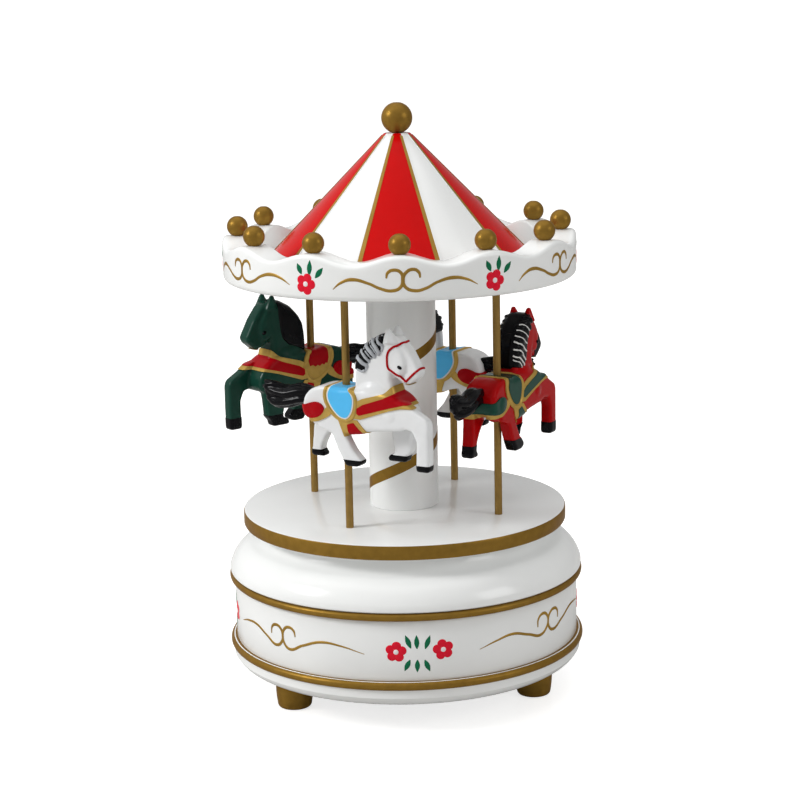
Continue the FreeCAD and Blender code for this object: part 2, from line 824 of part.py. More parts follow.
# ---------------------------------------------------------------- spring, key and winding
def make_barrel():
    """The spring barrel: a cup with a ring of crown teeth pointing down from its rim."""
    body = new_body("spring_barrel")
    radius, wall = D["barrel_radius"], D["barrel_wall"]
    turn(body, [
        (D["arbor_radius"] + D["running_gap"], barrel_floor),
        (radius, barrel_floor),
        (radius, crown_gear_root),
        (D["crown_gear_outer"], crown_gear_root),
        (D["crown_gear_outer"], barrel_top),
        (radius - wall, barrel_top),
        (radius - wall, barrel_floor + wall),
        (D["arbor_radius"] + D["running_gap"], barrel_floor + wall),
    ])
    middle = (D["crown_gear_outer"] + D["crown_gear_inner"]) / 2
    pitch = middle * (2 * math.pi) / D["crown_gear_teeth"]
    deep = D["crown_gear_tooth"]
    step = pad(body, "YZ_Plane", D["crown_gear_inner"], D["crown_gear_outer"] - D["crown_gear_inner"], [
        (-(pitch * TOOTH_TIP), crown_gear_root - deep),
        (pitch * TOOTH_TIP, crown_gear_root - deep),
        (pitch * TOOTH_ROOT, crown_gear_root + 0.2),
        (-(pitch * TOOTH_ROOT), crown_gear_root + 0.2),
    ])
    axis = new_sketch(body, "XY_Plane")
    pattern = body.newObject("PartDesign::PolarPattern", "crown_gear")
    pattern.Originals = [step]
    pattern.Axis = (axis, ["N_Axis"])
    pattern.Angle = 360.0
    bind(pattern, "Occurrences", D["crown_gear_teeth"])
    body.Tip = pattern
    keep(body, "spring_barrel")


def make_barrel_cover():
    body = new_body("barrel_cover")
    inner = D["shaft_radius"]
    turn(body, [
        (inner, barrel_top),
        (D["barrel_radius"], barrel_top),
        (D["barrel_radius"], barrel_top + D["barrel_cover"]),
        (inner, barrel_top + D["barrel_cover"]),
    ])
    keep(body, "barrel_cover")


def make_output_shaft():
    """The steel shaft from the barrel's cover up into the hub."""
    shaft = DOC.addObject("Part::Cylinder", "output_shaft")
    bind(shaft, "Radius", D["shaft_radius"])
    bind(shaft, "Height", table_floor + D["hub_flange"] - barrel_top)
    place(shaft, z=barrel_top)
    keep(shaft, "output_shaft")


def make_mainspring():
    """A flat spring wound as a spiral inside the barrel, its outer end against the wall."""
    turns, points_per_turn, strip = 6, 24, 0.35
    inner = SHEET.get("arbor_radius") + 1.4
    outer = SHEET.get("barrel_radius") - SHEET.get("barrel_wall") - strip
    floor = SHEET.get("ratchet_lift") + SHEET.get("ratchet_thickness") + SHEET.get("barrel_lift")
    floor += SHEET.get("foot_height") + SHEET.get("bottom_thickness") + SHEET.get("bedplate")
    height = SHEET.get("barrel_height") - SHEET.get("barrel_wall") - 1.0

    def spiral(shift):
        steps = turns * points_per_turn
        rows = []
        for i in range(steps + 1):
            angle = 2 * math.pi * i / points_per_turn
            radius = inner + (outer - inner) * i / steps + shift
            rows.append(FreeCAD.Vector(radius * math.cos(angle), radius * math.sin(angle), 0))
        curve = Part.BSplineCurve()
        curve.interpolate(rows)
        return rows, curve.toShape()

    near, near_edge = spiral(0.0)
    far, far_edge = spiral(strip)
    start = Part.makeLine(near[0], far[0])
    end = Part.makeLine(near[-1], far[-1])
    face = Part.Face(Part.Wire(Part.__sortEdges__([near_edge, end, far_edge, start])))
    spring = DOC.addObject("Part::Feature", "mainspring")
    spring.Shape = face.extrude(FreeCAD.Vector(0, 0, height))
    lift = SHEET.get("barrel_wall") + 0.5
    spring.Placement = FreeCAD.Placement(FreeCAD.Vector(0, 0, floor + lift), FreeCAD.Rotation())
    keep(spring, "mainspring")


def make_winding_arbor():
    """The arbor that the key turns: threaded tail, bearing, ratchet seat, and the hook for the spring."""
    body = new_body("winding_arbor")
    tail = D["foot_height"] - 0.4
    radius = D["arbor_radius"]
    turn(body, [
        (0, tail),
        (D["shaft_radius"], tail),
        (D["shaft_radius"], drum_floor - 0.6),
        (radius, drum_floor - 0.6),
        (radius, barrel_floor + D["barrel_wall"] + 0.2),
        (radius + 0.6, barrel_floor + D["barrel_wall"] + 0.2),
        (radius + 0.6, barrel_top - 1.2),
        (0, barrel_top - 1.2),
    ])
    keep(body, "winding_arbor")


def make_ratchet():
    """The ratchet wheel on the arbor, with sloping teeth that the click holds."""
    body = new_body("ratchet_wheel")
    outer, teeth = D["ratchet_radius"], D["ratchet_teeth"]
    core = outer - 1.0
    pad(body, "XY_Plane", ratchet_floor, D["ratchet_thickness"], disc=(0, 0, core))
    step_angle = 360 / teeth
    step = pad(body, "XY_Plane", ratchet_floor, D["ratchet_thickness"], [
        (core * 0.9, 0),
        (outer, 0),
        (core * cosine(step_angle * 0.9) * 0.995, core * sine(step_angle * 0.9) * 0.995),
    ])
    repeat(body, step, teeth)
    drill(body, ratchet_floor + D["ratchet_thickness"] + 1, D["ratchet_thickness"] + 2, [(0, 0, D["arbor_radius"])])
    keep(body, "ratchet_wheel")


def make_click():
    """The click beside the ratchet, drawn lifted just clear of its teeth, on a post of the bedplate."""
    body = new_body("click")
    reach = D["ratchet_radius"] + 0.15
    pad(body, "XY_Plane", ratchet_floor, D["ratchet_thickness"], [
        (-(reach + 4.4), -1.6),
        (-(reach + 1.2), -1.6),
        (-reach, 3.6),
        (-(reach + 0.9), 3.6),
        (-(reach + 4.4), 1.6),
    ])
    drill(body, ratchet_floor + 3, 6.0, [(-(reach + 2.7), 0, 0.8)])
    keep(body, "click")
    post = new_body("click_post")
    pad(post, "XY_Plane", plate_top, D["ratchet_lift"], disc=(-(reach + 2.7), 0, 1.4))
    pad(post, "XY_Plane", plate_top, D["ratchet_lift"] + D["ratchet_thickness"] + 0.4, disc=(-(reach + 2.7), 0, 0.8))
    keep(post, "click_post")


def make_key():
    """The butterfly key under the base: a threaded socket with two flat wings."""
    body = new_body("winding_key")
    low = D["key_floor_gap"]
    wing_top = low + D["key_wing_height"]
    turn(body, [
        (0, wing_top - 1.5),
        (D["key_socket_radius"], wing_top - 1.5),
        (D["key_socket_radius"], drum_floor - 3.0),
        (D["shaft_radius"], drum_floor - 3.0),
        (D["shaft_radius"], D["foot_height"] - 0.4),
        (0, D["foot_height"] - 0.4),
    ])
    span, soft = D["key_wing_span"], D["key_wing_height"] / 2
    sketch = new_sketch(body, "XZ_Plane", -(D["key_wing_thickness"] / 2))
    outline(sketch, [
        (-(span - soft), low),
        (-2.0, low),
        (0, low + 1.2),
        (2.0, low),
        (span - soft, low, soft * 1.01, 1),
        (span - soft, wing_top),
        (2.6, wing_top),
        (-2.6, wing_top),
        (-(span - soft), wing_top, soft * 1.01, 1),
    ])
    feature(body, "Pad", sketch, D["key_wing_thickness"])
    keep(body, "winding_key")


# ---------------------------------------------------------------- movement
def make_bedplate():
    """The cast bedplate, with two lugs that carry the cylinder and a ledge for the comb."""
    body = new_body("bedplate")
    left, right = D["bedplate_left"], D["bedplate_right"]
    front, back = D["bedplate_front"], D["bedplate_back"]
    cut = D["bedplate_cut"]
    pad(body, "XY_Plane", drum_floor, D["bedplate"], [
        (-left, -front + cut),
        (-left + cut, -front),
        (right - cut / 3, -front),
        (right, -bedplate_corner),
        (right, back - cut),
        (right - cut * 0.6, back),
        (-left, back),
    ])
    lug = D["lug_thickness"]
    top = cylinder_axis + 2.4
    pad(body, "YZ_Plane", D["lug_near"], lug, [
        (-3.0, plate_top - 0.5), (3.0, plate_top - 0.5), (2.0, top), (-2.0, top),
    ])
    pad(body, "YZ_Plane", D["lug_far"], lug, [
        (-(governor_offset + 2.4), plate_top - 0.5),
        (3.0, plate_top - 0.5),
        (2.0, top),
        (-2.0, top),
        (-(governor_offset + 2.4), governor_axis + 2.2),
    ])
    comb_floor = cylinder_axis - D["comb_thickness"] / 2
    ledge = comb_near() + D["comb_length"] * 0.5
    pad(body, "XY_Plane", plate_top - 0.5, comb_floor - plate_top + 0.5, [
        (D["cylinder_start"], ledge),
        (D["cylinder_start"] + D["cylinder_length"], ledge),
        (D["cylinder_start"] + D["cylinder_length"], ledge + 4.2),
        (D["cylinder_start"], ledge + 4.2),
    ])
    drill(body, plate_top + 1, D["bedplate"] + 2, [(0, 0, D["arbor_radius"] + D["running_gap"])])
    drill(body, plate_top + 1, D["bedplate"] + 2, [(x, y, screw_shank()) for x, y in movement_screw_places()])
    drill(body, comb_floor + 1, 5.0, [(x, y, Size.of(0.8)) for x, y in comb_screw_places()])
    worm = D["arbor_small"] * 0.5 + D["running_gap"]
    drill(body, plate_top + 1, 2.2, [(D["governor_wheel_place"], -worm_offset, worm)])
    bearing = D["arbor_small"] + D["running_gap"]
    sketch = new_sketch(body, "YZ_Plane", D["lug_far"] + lug + 0.5)
    circle(sketch, 0, cylinder_axis, bearing)
    circle(sketch, -governor_offset, governor_axis, D["arbor_small"] * 0.6 + D["running_gap"])
    feature(body, "Pocket", sketch, lug + 1.0)
    sketch = new_sketch(body, "YZ_Plane", D["lug_near"] + lug + 0.5)
    circle(sketch, 0, cylinder_axis, bearing)
    feature(body, "Pocket", sketch, lug + 1.0)
    keep(body, "bedplate")


def comb_near():
    """How far in front of the cylinder's axis the tips of the comb stand."""
    return D["cylinder_radius"] + D["pin_height"] + D["comb_gap"]


def comb_screw_places():
    y = comb_near() + D["comb_length"] * 0.5 + 2.1
    return [
        (D["cylinder_start"] + 2.6, y),
        (D["cylinder_start"] + D["cylinder_length"] - 2.6, y),
    ]


def make_comb():
    """The steel comb: one plate, slit into tuned teeth."""
    body = new_body("comb")
    start, width = D["cylinder_start"], D["cylinder_length"]
    near, length = comb_near(), D["comb_length"]
    floor = cylinder_axis - D["comb_thickness"] / 2
    pad(body, "XY_Plane", floor, D["comb_thickness"], [
        (start, near), (start + width, near), (start + width, near + length - 1), (start, near + length),
    ])
    pitch = width / D["comb_teeth"]
    slit = Size.of(0.22)
    sketch = new_sketch(body, "XY_Plane", floor + D["comb_thickness"] + 1)
    outline(sketch, [
        (start + pitch - slit / 2, near - 1),
        (start + pitch + slit / 2, near - 1),
        (start + pitch + slit / 2, near + length * 0.45),
        (start + pitch - slit / 2, near + length * 0.45),
    ])
    step = feature(body, "Pocket", sketch, D["comb_thickness"] + 2)
    pattern = body.newObject("PartDesign::LinearPattern", "comb_slits")
    pattern.Originals = [step]
    pattern.Direction = (sketch, ["H_Axis"])
    bind(pattern, "Length", pitch * (D["comb_teeth"] - 2))
    bind(pattern, "Occurrences", D["comb_teeth"] - 1)
    body.Tip = pattern
    drill(body, floor + 3, 6.0, [(x, y, Size.of(0.8)) for x, y in comb_screw_places()])
    keep(body, "comb")


def make_comb_screws():
    floor = cylinder_axis + D["comb_thickness"] / 2
    master = new_body("comb_screw_master")
    turn(master, [(0, -4.0), (0.8, -4.0), (0.8, 0), (1.7, 0), (1.7, 0.9), (1.2, 1.2), (0, 1.2)])
    sketch = new_sketch(master, "XY_Plane", 2.0)
    outline(sketch, [(-2.5, -0.25), (2.5, -0.25), (2.5, 0.25), (-2.5, 0.25)])
    feature(master, "Pocket", sketch, 1.3)
    copies = []
    for i, (x, y) in enumerate(comb_screw_places()):
        item = copy_of(master, f"comb_screw_{i + 1}")
        place(item, x, y, floor)
        copies.append(item)
    join("comb_screws", copies)


def lay_along_x(item, x, y, z):
    """Turns a piece made about the vertical so that its axis runs along +X."""
    place(item, x, y, z, 90, axis=(0, 1, 0))


def make_cylinder():
    """The brass cylinder with its tune pins, set out by a fixed rule."""
    radius, length = SHEET.get("cylinder_radius"), SHEET.get("cylinder_length")
    pins_high, bore = SHEET.get("pin_height"), SHEET.get("arbor_small")
    barrel = Part.makeCylinder(radius, length).cut(Part.makeCylinder(bore, length))
    tracks = int(SHEET.get("comb_teeth"))
    pins = []
    for track in range(tracks):
        for beat in range(3):
            angle = (track * 137.5 + beat * 101.0) % 360
            pin = Part.makeCylinder(0.16, 1.0 + pins_high, FreeCAD.Vector(radius - 1.0, 0, 0), FreeCAD.Vector(1, 0, 0))
            pin.rotate(FreeCAD.Vector(), FreeCAD.Vector(0, 0, 1), angle)
            pin.translate(FreeCAD.Vector(0, 0, (track + 0.5) * length / tracks))
            pins.append(pin)
    drum = DOC.addObject("Part::Feature", "pinned_cylinder")
    drum.Shape = barrel.multiFuse(pins)
    lay_along_x(drum, D["cylinder_start"], 0, cylinder_axis)
    keep(drum, "pinned_cylinder")


def make_cylinder_arbor():
    """The cylinder's arbor, with the pinion that the barrel's crown teeth turn cut on its inner end."""
    body = new_body("cylinder_arbor")
    start = D["crown_gear_inner"] + 0.2
    length = D["lug_far"] + D["lug_thickness"] + 0.4 - start
    pad(body, "XY_Plane", 0, length, disc=(0, 0, D["arbor_small"]))
    face = D["crown_gear_outer"] - D["crown_gear_inner"] - 0.2
    pitch_radius = D["pinion_pitch_radius"]
    pad(body, "XY_Plane", 0, face, disc=(0, 0, pitch_radius - 0.65))
    step = pad(
        body, "XY_Plane", 0, face,
        tooth(pitch_radius, pitch_radius - 0.65, pitch_radius + 0.5, D["pinion_teeth"]),
        turn_by=180 / D["pinion_teeth"],
    )
    repeat(body, step, D["pinion_teeth"])
    lay_along_x(body, start, 0, cylinder_axis)
    keep(body, "cylinder_arbor")


def make_great_wheel():
    """The toothed wheel at the cylinder's outer end."""
    body = new_body("cylinder_wheel")
    pitch_radius, teeth = D["great_pitch_radius"], D["great_teeth"]
    low, high = pitch_radius - 0.5, pitch_radius + 0.36
    pad(body, "XY_Plane", 0, D["great_thickness"], disc=(0, 0, low))
    step = pad(
        body, "XY_Plane", 0, D["great_thickness"], tooth(pitch_radius, low, high, teeth), turn_by=-D["governor_swing"]
    )
    repeat(body, step, teeth)
    drill(body, D["great_thickness"] + 1, D["great_thickness"] + 2, [(0, 0, D["arbor_small"])])
    lay_along_x(body, D["great_start"], 0, cylinder_axis)
    keep(body, "cylinder_wheel")


def make_governor_wheel():
    """The small arbor between cylinder and worm: a pinion at one end and the worm's wheel at the other."""
    body = new_body("governor_wheel")
    arbor = D["arbor_small"] * 0.6
    start = D["governor_wheel_place"] - 3.4
    length = D["lug_far"] + D["lug_thickness"] + 0.3 - start
    pad(body, "XY_Plane", 0, length, disc=(0, 0, arbor))
    pinion_low, pinion_high = governor_pinion_radius - 0.5, governor_pinion_radius + 0.36
    pinion_start = D["great_start"] - start - 0.2
    thick = D["great_thickness"] + 0.4
    pad(body, "XY_Plane", pinion_start, thick, disc=(0, 0, pinion_low))
    step = pad(
        body, "XY_Plane", pinion_start, thick,
        tooth(governor_pinion_radius, pinion_low, pinion_high, D["governor_pinion_teeth"]),
        turn_by=180 / D["governor_pinion_teeth"] - D["governor_swing"],
    )
    repeat(body, step, D["governor_pinion_teeth"])
    pitch_radius, teeth = D["governor_pitch_radius"], D["governor_teeth"]
    wheel_start = D["governor_wheel_place"] - start - D["governor_wheel_thickness"] / 2
    pad(body, "XY_Plane", wheel_start, D["governor_wheel_thickness"], disc=(0, 0, pitch_radius - 0.5))
    step = pad(
        body, "XY_Plane", wheel_start, D["governor_wheel_thickness"],
        tooth(pitch_radius, pitch_radius - 0.5, pitch_radius + 0.3, teeth),
    )
    repeat(body, step, teeth)
    lay_along_x(body, start, -governor_offset, governor_axis)
    keep(body, "governor_wheel")


def worm_sizes():
    """Bottom of the worm's arbor, its length, and how far above that bottom its thread starts and how long it is.

    The thread passes half a lead above and below the wheel's axis, so that a tooth stands between two turns.
    """
    bottom = plate_top - 0.9
    length = D["cylinder_radius"] * 2 + 7.0
    middle = governor_axis - bottom
    return bottom, length, middle - worm_lead * 1.75, worm_lead * 3.5


def make_worm():
    """The endless screw that the governor wheel spins."""
    bottom, length, thread_start, thread_length = worm_sizes()
    pivot = new_body("worm_core")
    thin = D["arbor_small"] * 0.5
    body_radius = D["worm_pitch_radius"] - 0.45
    turn(pivot, [
        (0, 0),
        (thin, 0),
        (thin, 1.6),
        (body_radius, 1.6),
        (body_radius, length - 1.6),
        (thin, length - 1.6),
        (thin, length),
        (0, length),
    ])
    helix = DOC.addObject("Part::Helix", "worm_helix")
    bind(helix, "Pitch", worm_lead)
    bind(helix, "Height", thread_length)
    bind(helix, "Radius", body_radius + 0.1)
    place(helix, z=thread_start)
    profile = DOC.addObject("Part::Circle", "worm_profile")
    bind(profile, "Radius", 0.24)
    place(profile, body_radius + 0.1, 0, thread_start, 90, axis=(1, 0, 0))
    thread = DOC.addObject("Part::Sweep", "worm_thread")
    thread.Sections = [profile]
    thread.Spine = (helix, ["Edge1"])
    thread.Solid = True
    thread.Frenet = True
    worm = DOC.addObject("Part::Fuse", "governor_worm")
    worm.Base = pivot
    worm.Tool = thread
    place(worm, D["governor_wheel_place"], -worm_offset, bottom)
    keep(worm, "governor_worm")


def make_fly():
    """The air brake: two flat vanes on a collar at the top of the worm."""
    bottom, length, thread_start, thread_length = worm_sizes()
    low = thread_start + thread_length + 0.8
    body = new_body("air_brake")
    core = D["worm_pitch_radius"] - 0.45
    pad(body, "XY_Plane", low, D["fly_height"], [
        (-D["fly_radius"], -(D["fly_thickness"] / 2)),
        (D["fly_radius"], -(D["fly_thickness"] / 2)),
        (D["fly_radius"], D["fly_thickness"] / 2),
        (-D["fly_radius"], D["fly_thickness"] / 2),
    ])
    pad(body, "XY_Plane", low, D["fly_height"], disc=(0, 0, core + 0.6))
    drill(body, low + D["fly_height"] + 1, D["fly_height"] + 2, [(0, 0, core)])
    place(body, D["governor_wheel_place"], -worm_offset, bottom)
    keep(body, "air_brake")


def make_governor_frame():
    """The bent bracket that holds the worm's top pivot and the inner end of the governor wheel's arbor."""
    bottom, length, thread_start, thread_length = worm_sizes()
    body = new_body("governor_frame")
    x, width, sheet = D["governor_wheel_place"], Size.of(5.0), Size.of(0.9)
    top = bottom + length - 1.1
    behind = worm_offset + D["fly_radius"] * 0.5 + 1.6
    pad(body, "XY_Plane", plate_top, top + sheet - plate_top, [
        (x - width - 3.6, -behind - 0.3),
        (x - width - 2.7, -behind - 0.3),
        (x - width - 2.7, -behind + 5.0),
        (x - width - 3.6, -behind + 5.0),
    ])
    pad(body, "XY_Plane", top, sheet, [
        (x - width - 3.0, -behind - 0.3),
        (x + 2.0, -worm_offset - 2.0),
        (x + 2.0, -worm_offset + 2.0),
        (x - width - 3.0, -behind + 5.0),
    ])
    pad(body, "XY_Plane", plate_top, sheet, [
        (x - width - 3.6, -behind - 0.3),
        (x - width + 2.0, -behind - 0.3),
        (x - width + 2.0, -behind + 5.0),
        (x - width - 3.6, -behind + 5.0),
    ])
    tab = x - 3.6
    pad(body, "YZ_Plane", tab - 0.2, sheet, [
        (-behind + 4.0, plate_top),
        (-(governor_offset - 2.0), plate_top),
        (-(governor_offset - 2.0), governor_axis + 1.8),
        (-(governor_offset + 2.0), governor_axis + 1.8),
        (-behind + 4.0, plate_top + 2.0),
    ])
    pad(body, "XY_Plane", plate_top, sheet, [
        (x - width - 3.6, -behind + 4.0),
        (tab + 0.7, -behind + 4.0),
        (tab + 0.7, -(governor_offset - 2.0)),
        (tab - 1.4, -(governor_offset - 2.0)),
        (x - width - 3.6, -behind + 5.0),
    ])
    drill(body, top + 3, 4.5, [(x, -worm_offset, D["arbor_small"] * 0.5 + D["running_gap"])])
    sketch = new_sketch(body, "YZ_Plane", tab + 2.0)
    circle(sketch, -governor_offset, governor_axis, D["arbor_small"] * 0.6 + D["running_gap"])
    feature(body, "Pocket", sketch, 4.0)
    keep(body, "governor_frame")


def write_parts():
    """Recomputes, refuses anything that failed, and writes one STEP file for each sub-part."""
    DOC.recompute()
    for item in DOC.Objects:
        if "Invalid" in item.State or "Error" in item.State:
            raise RuntimeError(f"{item.Label} failed: {item.State}")
    for item in PARTS:
        shape = item.Shape
        if shape.isNull() or not shape.isValid() or not shape.Solids:
            raise RuntimeError(f"{item.Label} has no valid shape")
    for item in PARTS:
        item.Shape.exportStep(f"parts/{item.Label}.step")
        print(f"{item.Label:20s} {len(item.Shape.Solids)} solids {item.Shape.Volume:10.2f} mm3")
    print(len(PARTS), "sub-parts")


make_base_bottom()
make_screws()
make_feet()
make_drum()
make_base_top()
make_bush()
make_turntable()
make_hub()
make_column()
make_poles()
make_canopy_board()
make_crown()
make_roof()
make_balls()
make_horses()
make_barrel()
make_barrel_cover()
make_output_shaft()
make_mainspring()
make_winding_arbor()
make_ratchet()
make_click()
make_key()
make_bedplate()
make_comb()
make_comb_screws()
make_cylinder()
make_cylinder_arbor()
make_great_wheel()
make_governor_wheel()
make_worm()
make_fly()
make_governor_frame()
write_parts()
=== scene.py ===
"""Wind-up carousel music box: the finished look around the packed model."""

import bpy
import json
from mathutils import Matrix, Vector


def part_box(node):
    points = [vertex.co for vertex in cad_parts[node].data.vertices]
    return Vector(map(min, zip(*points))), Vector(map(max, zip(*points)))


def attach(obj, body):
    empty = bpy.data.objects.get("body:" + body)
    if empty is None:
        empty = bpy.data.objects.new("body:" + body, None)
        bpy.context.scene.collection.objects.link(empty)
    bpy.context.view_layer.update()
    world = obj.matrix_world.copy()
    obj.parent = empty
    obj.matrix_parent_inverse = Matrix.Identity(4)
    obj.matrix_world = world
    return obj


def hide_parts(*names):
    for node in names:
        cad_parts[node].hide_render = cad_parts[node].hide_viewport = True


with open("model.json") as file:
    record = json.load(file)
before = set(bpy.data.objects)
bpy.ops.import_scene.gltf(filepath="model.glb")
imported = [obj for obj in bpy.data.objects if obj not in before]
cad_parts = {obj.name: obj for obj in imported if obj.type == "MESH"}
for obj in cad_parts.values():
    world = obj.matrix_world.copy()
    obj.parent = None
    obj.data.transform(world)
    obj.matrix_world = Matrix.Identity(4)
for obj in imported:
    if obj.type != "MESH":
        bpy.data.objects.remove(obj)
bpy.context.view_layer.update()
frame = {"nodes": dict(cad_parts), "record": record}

import json
import math

import bmesh
import bpy
from mathutils import Matrix, Vector

bl_info = {
    "name": "Carousel Music Box",
    "version": (1, 0, 0),
    "blender": (4, 5, 0),
    "location": "View3D > Sidebar > Music Box",
    "description": "Builds the painted wooden pieces, the horses and the studio of a carousel music box",
    "category": "Object",
}

# Heights, radii and reliefs are in mm, HAIR_VOXEL and the camera's place in metres, angles in degrees.
MM = 0.001
TURN_STEPS = 192
CREASE = math.radians(32)
BALL_COUNT = 12
PANEL_COUNT = 10
DRUM_RADIUS = 51.0
CROWN_RADIUS = 51.3
POST_LOW, POST_HIGH = 54.6, 123.0
BAND_CROSSING = 69.9
WAVE_START, WAVE_REACH, WAVE_HEIGHT = 127.5, 4.6, 2.6
STROKE_RELIEF = 0.3
LEAF_RELIEF = STROKE_RELIEF * 0.6
HAIR_VOXEL = 0.0003
HOOF_CLEARANCE = 1.1
LEG_HALF, LEG_PLACE = 1.75, 3.25
GREEN_SWING = -21.0
CAMERA_PLACE = (-0.00072, -0.61938, 0.21528)
CAMERA_PITCH, CAMERA_ROLL, CAMERA_LENS = 78.181, -1.17, 96.436
FLOOR_GLOW = 0.72
SKY_SIDE, SKY_DARK, SKY_LIGHT = (-0.7, 0.15, 0.7), 0.13, 0.7
LIGHTS = (
    ("key_light", (-1.0, -0.3, 0.72), (0, 0, 0.09), 0.34, 7.4),
    ("side_light", (1.0, -0.55, 0.55), (0, 0, 0.09), 0.5, 3.0),
    ("top_light", (-0.1, 0.1, 1.3), (0, 0, 0.05), 1.5, 5.4),
)


# ---- sizes and colours

def size(name, description, default):
    return bpy.props.FloatProperty(
        name=name, description=description, default=default, unit="LENGTH", subtype="DISTANCE",
    )


def tint(name, description, default):
    return bpy.props.FloatVectorProperty(
        name=name, description=description, default=default, size=3, min=0, max=1, subtype="COLOR",
    )


class MusicBoxSizes(bpy.types.PropertyGroup):
    bead_stand: size("Bead stand", "How far the gold beads stand out from the packed ones", 0.00006)
    swirl_stroke: size("Swirl stroke", "Half width of the widest part of a painted swirl", 0.00046)
    petal_reach: size("Petal reach", "From the middle of a flower to the middle of a petal", 0.0018)
    roof_stripe: size("Roof stripe", "Width of the gold stripe beside each roof panel", 0.00145)
    column_band: size("Column band", "Height of the gold band that winds round the column", 0.0037)
    column_pitch: size("Column pitch", "Climb of the gold band in one turn", 0.0304)
    ball_radius: size("Ball radius", "Radius of the balls on the rim", 0.00305)
    finial_radius: size("Finial radius", "Radius of the ball on the roof", 0.0045)
    horse_voxel: size("Horse voxel", "Finest detail that a moulded horse keeps", 0.00036)
    harness_stand: size("Harness stand", "How far the harness stands out from a horse", 0.0003)


class FinishColours(bpy.types.PropertyGroup):
    lacquer: tint("White lacquer", "Turned and painted wood", (0.88, 0.89, 0.88))
    gold: tint("Gold paint", "Beads, balls and feet", (0.25, 0.142, 0.026))
    bronze: tint("Pole bronze", "The four poles", (0.30, 0.185, 0.055))
    roof_red: tint("Roof red", "The red panels", (0.56, 0.002, 0.002))
    petal_red: tint("Petal red", "Painted flowers", (0.74, 0.008, 0.03))
    leaf_green: tint("Leaf green", "Painted leaves", (0.004, 0.14, 0.06))
    coat_white: tint("White horse", "Two of the horses", (0.80, 0.81, 0.815))
    coat_red: tint("Red horse", "One of the horses", (0.42, 0.002, 0.003))
    coat_green: tint("Green horse", "One of the horses", (0.007, 0.045, 0.03))
    harness_red: tint("Harness red", "Bands and patches", (0.38, 0.002, 0.006))
    harness_green: tint("Harness green", "Bands and patches of the red horse", (0.006, 0.055, 0.035))
    harness_gold: tint("Harness gold", "Borders of the harness", (0.52, 0.34, 0.09))
    saddle_blue: tint("Saddle blue", "Saddles of the white horses", (0.10, 0.52, 0.92))
    hair_black: tint("Hair black", "Manes, tails and hooves", (0.003, 0.003, 0.004))
    hair_silver: tint("Hair silver", "Light locks of the white horses", (0.45, 0.47, 0.50))


def sizes():
    return bpy.context.scene.music_box_sizes


def colours():
    return bpy.context.scene.music_box_colours


# ---- finishes

def fill(node, **values):
    """Sets sockets by name; an underscore stands for a space."""
    for key, value in values.items():
        node.inputs[key.replace("_", " ")].default_value = value


def add(nodes, kind, **values):
    node = nodes.new("ShaderNode" + kind)
    fill(node, **values)
    return node


def finish(
    name, colour, roughness=0.3, metallic=0.0, coat=0.0, gloss_level=0.35, mottle=0.06, grain=260.0, fine=2600.0,
    bump=0.04, rub=0.08,
):
    """A painted or metal finish: cloudy colour, uneven gloss and a fine skin, all from the place on the object."""
    name += "_finish"
    material = bpy.data.materials.get(name)
    if material:
        return material
    material = bpy.data.materials.new(name)
    material.use_nodes = True
    nodes, links = material.node_tree.nodes, material.node_tree.links
    shader = nodes["Principled BSDF"]
    fill(shader, Metallic=metallic, Coat_Weight=coat, Coat_Roughness=0.06, Specular_IOR_Level=gloss_level)
    if metallic:
        fill(shader, Specular_Tint=tuple(min(1, c * 1.7) for c in colour) + (1,))
    place = add(nodes, "TexCoord")
    cloud = add(nodes, "TexNoise", Scale=grain, Detail=5.0)
    links.new(place.outputs["Object"], cloud.inputs["Vector"])
    dark, light = (tuple(min(1, c * level) for c in colour) + (1,) for level in (1 - mottle, 1 + mottle))
    blend = nodes.new("ShaderNodeMix")
    blend.data_type = "RGBA"
    fill(blend, A=dark, B=light)
    links.new(cloud.outputs["Fac"], blend.inputs["Factor"])
    links.new(blend.outputs["Result"], shader.inputs["Base Color"])
    skin = add(nodes, "TexNoise", Scale=fine, Detail=3.0)
    links.new(place.outputs["Object"], skin.inputs["Vector"])
    gloss = add(nodes, "MapRange", To_Min=max(0.03, roughness - rub), To_Max=roughness + rub)
    links.new(skin.outputs["Fac"], gloss.inputs["Value"])
    links.new(gloss.outputs["Result"], shader.inputs["Roughness"])
    relief = add(nodes, "Bump", Strength=bump, Distance=0.0002)
    links.new(skin.outputs["Fac"], relief.inputs["Height"])
    links.new(relief.outputs["Normal"], shader.inputs["Normal"])
    return material


def lacquer():
    return finish(
        "white_lacquer", colours().lacquer, roughness=0.2, coat=0.2, mottle=0.015, grain=120, bump=0.02, rub=0.05,
    )


def gilding(name, colour, roughness, mottle, grain, fine, bump, rub=0.08, metallic=0.4):
    """Metal paint: half a metal, with its grain and its worn gloss."""
    return finish(
        name, colour, roughness, metallic, gloss_level=0.12, mottle=mottle, grain=grain, fine=fine, bump=bump, rub=rub,
    )


def gold_paint():
    return gilding("gold_paint", colours().gold, 0.36, 0.25, 420, 3200, 0.16, 0.12)


def gilt_line():
    return gilding("gilt_line", (0.34, 0.205, 0.045), 0.42, 0.4, 90, 2500, 0.1)


def pole_bronze():
    return gilding("pole_bronze", colours().bronze, 0.32, 0.2, 500, 4200, 0.14, 0.1, 0.5)


def gloss_paint(name, colour, roughness=0.2, gloss_level=0.14):
    return finish(
        name, colour, roughness=roughness, gloss_level=gloss_level, mottle=0.06, grain=300, bump=0.03, rub=0.05,
    )


def own_paint(name, *look):
    """Gloss paint in the add-on's colour of that name."""
    return gloss_paint(name, getattr(colours(), name), *look)


def metal(name, colour, roughness, bump=0.08, fine=2400):
    return finish(name, colour, roughness=roughness, metallic=1.0, mottle=0.08, grain=350, fine=fine, bump=bump)


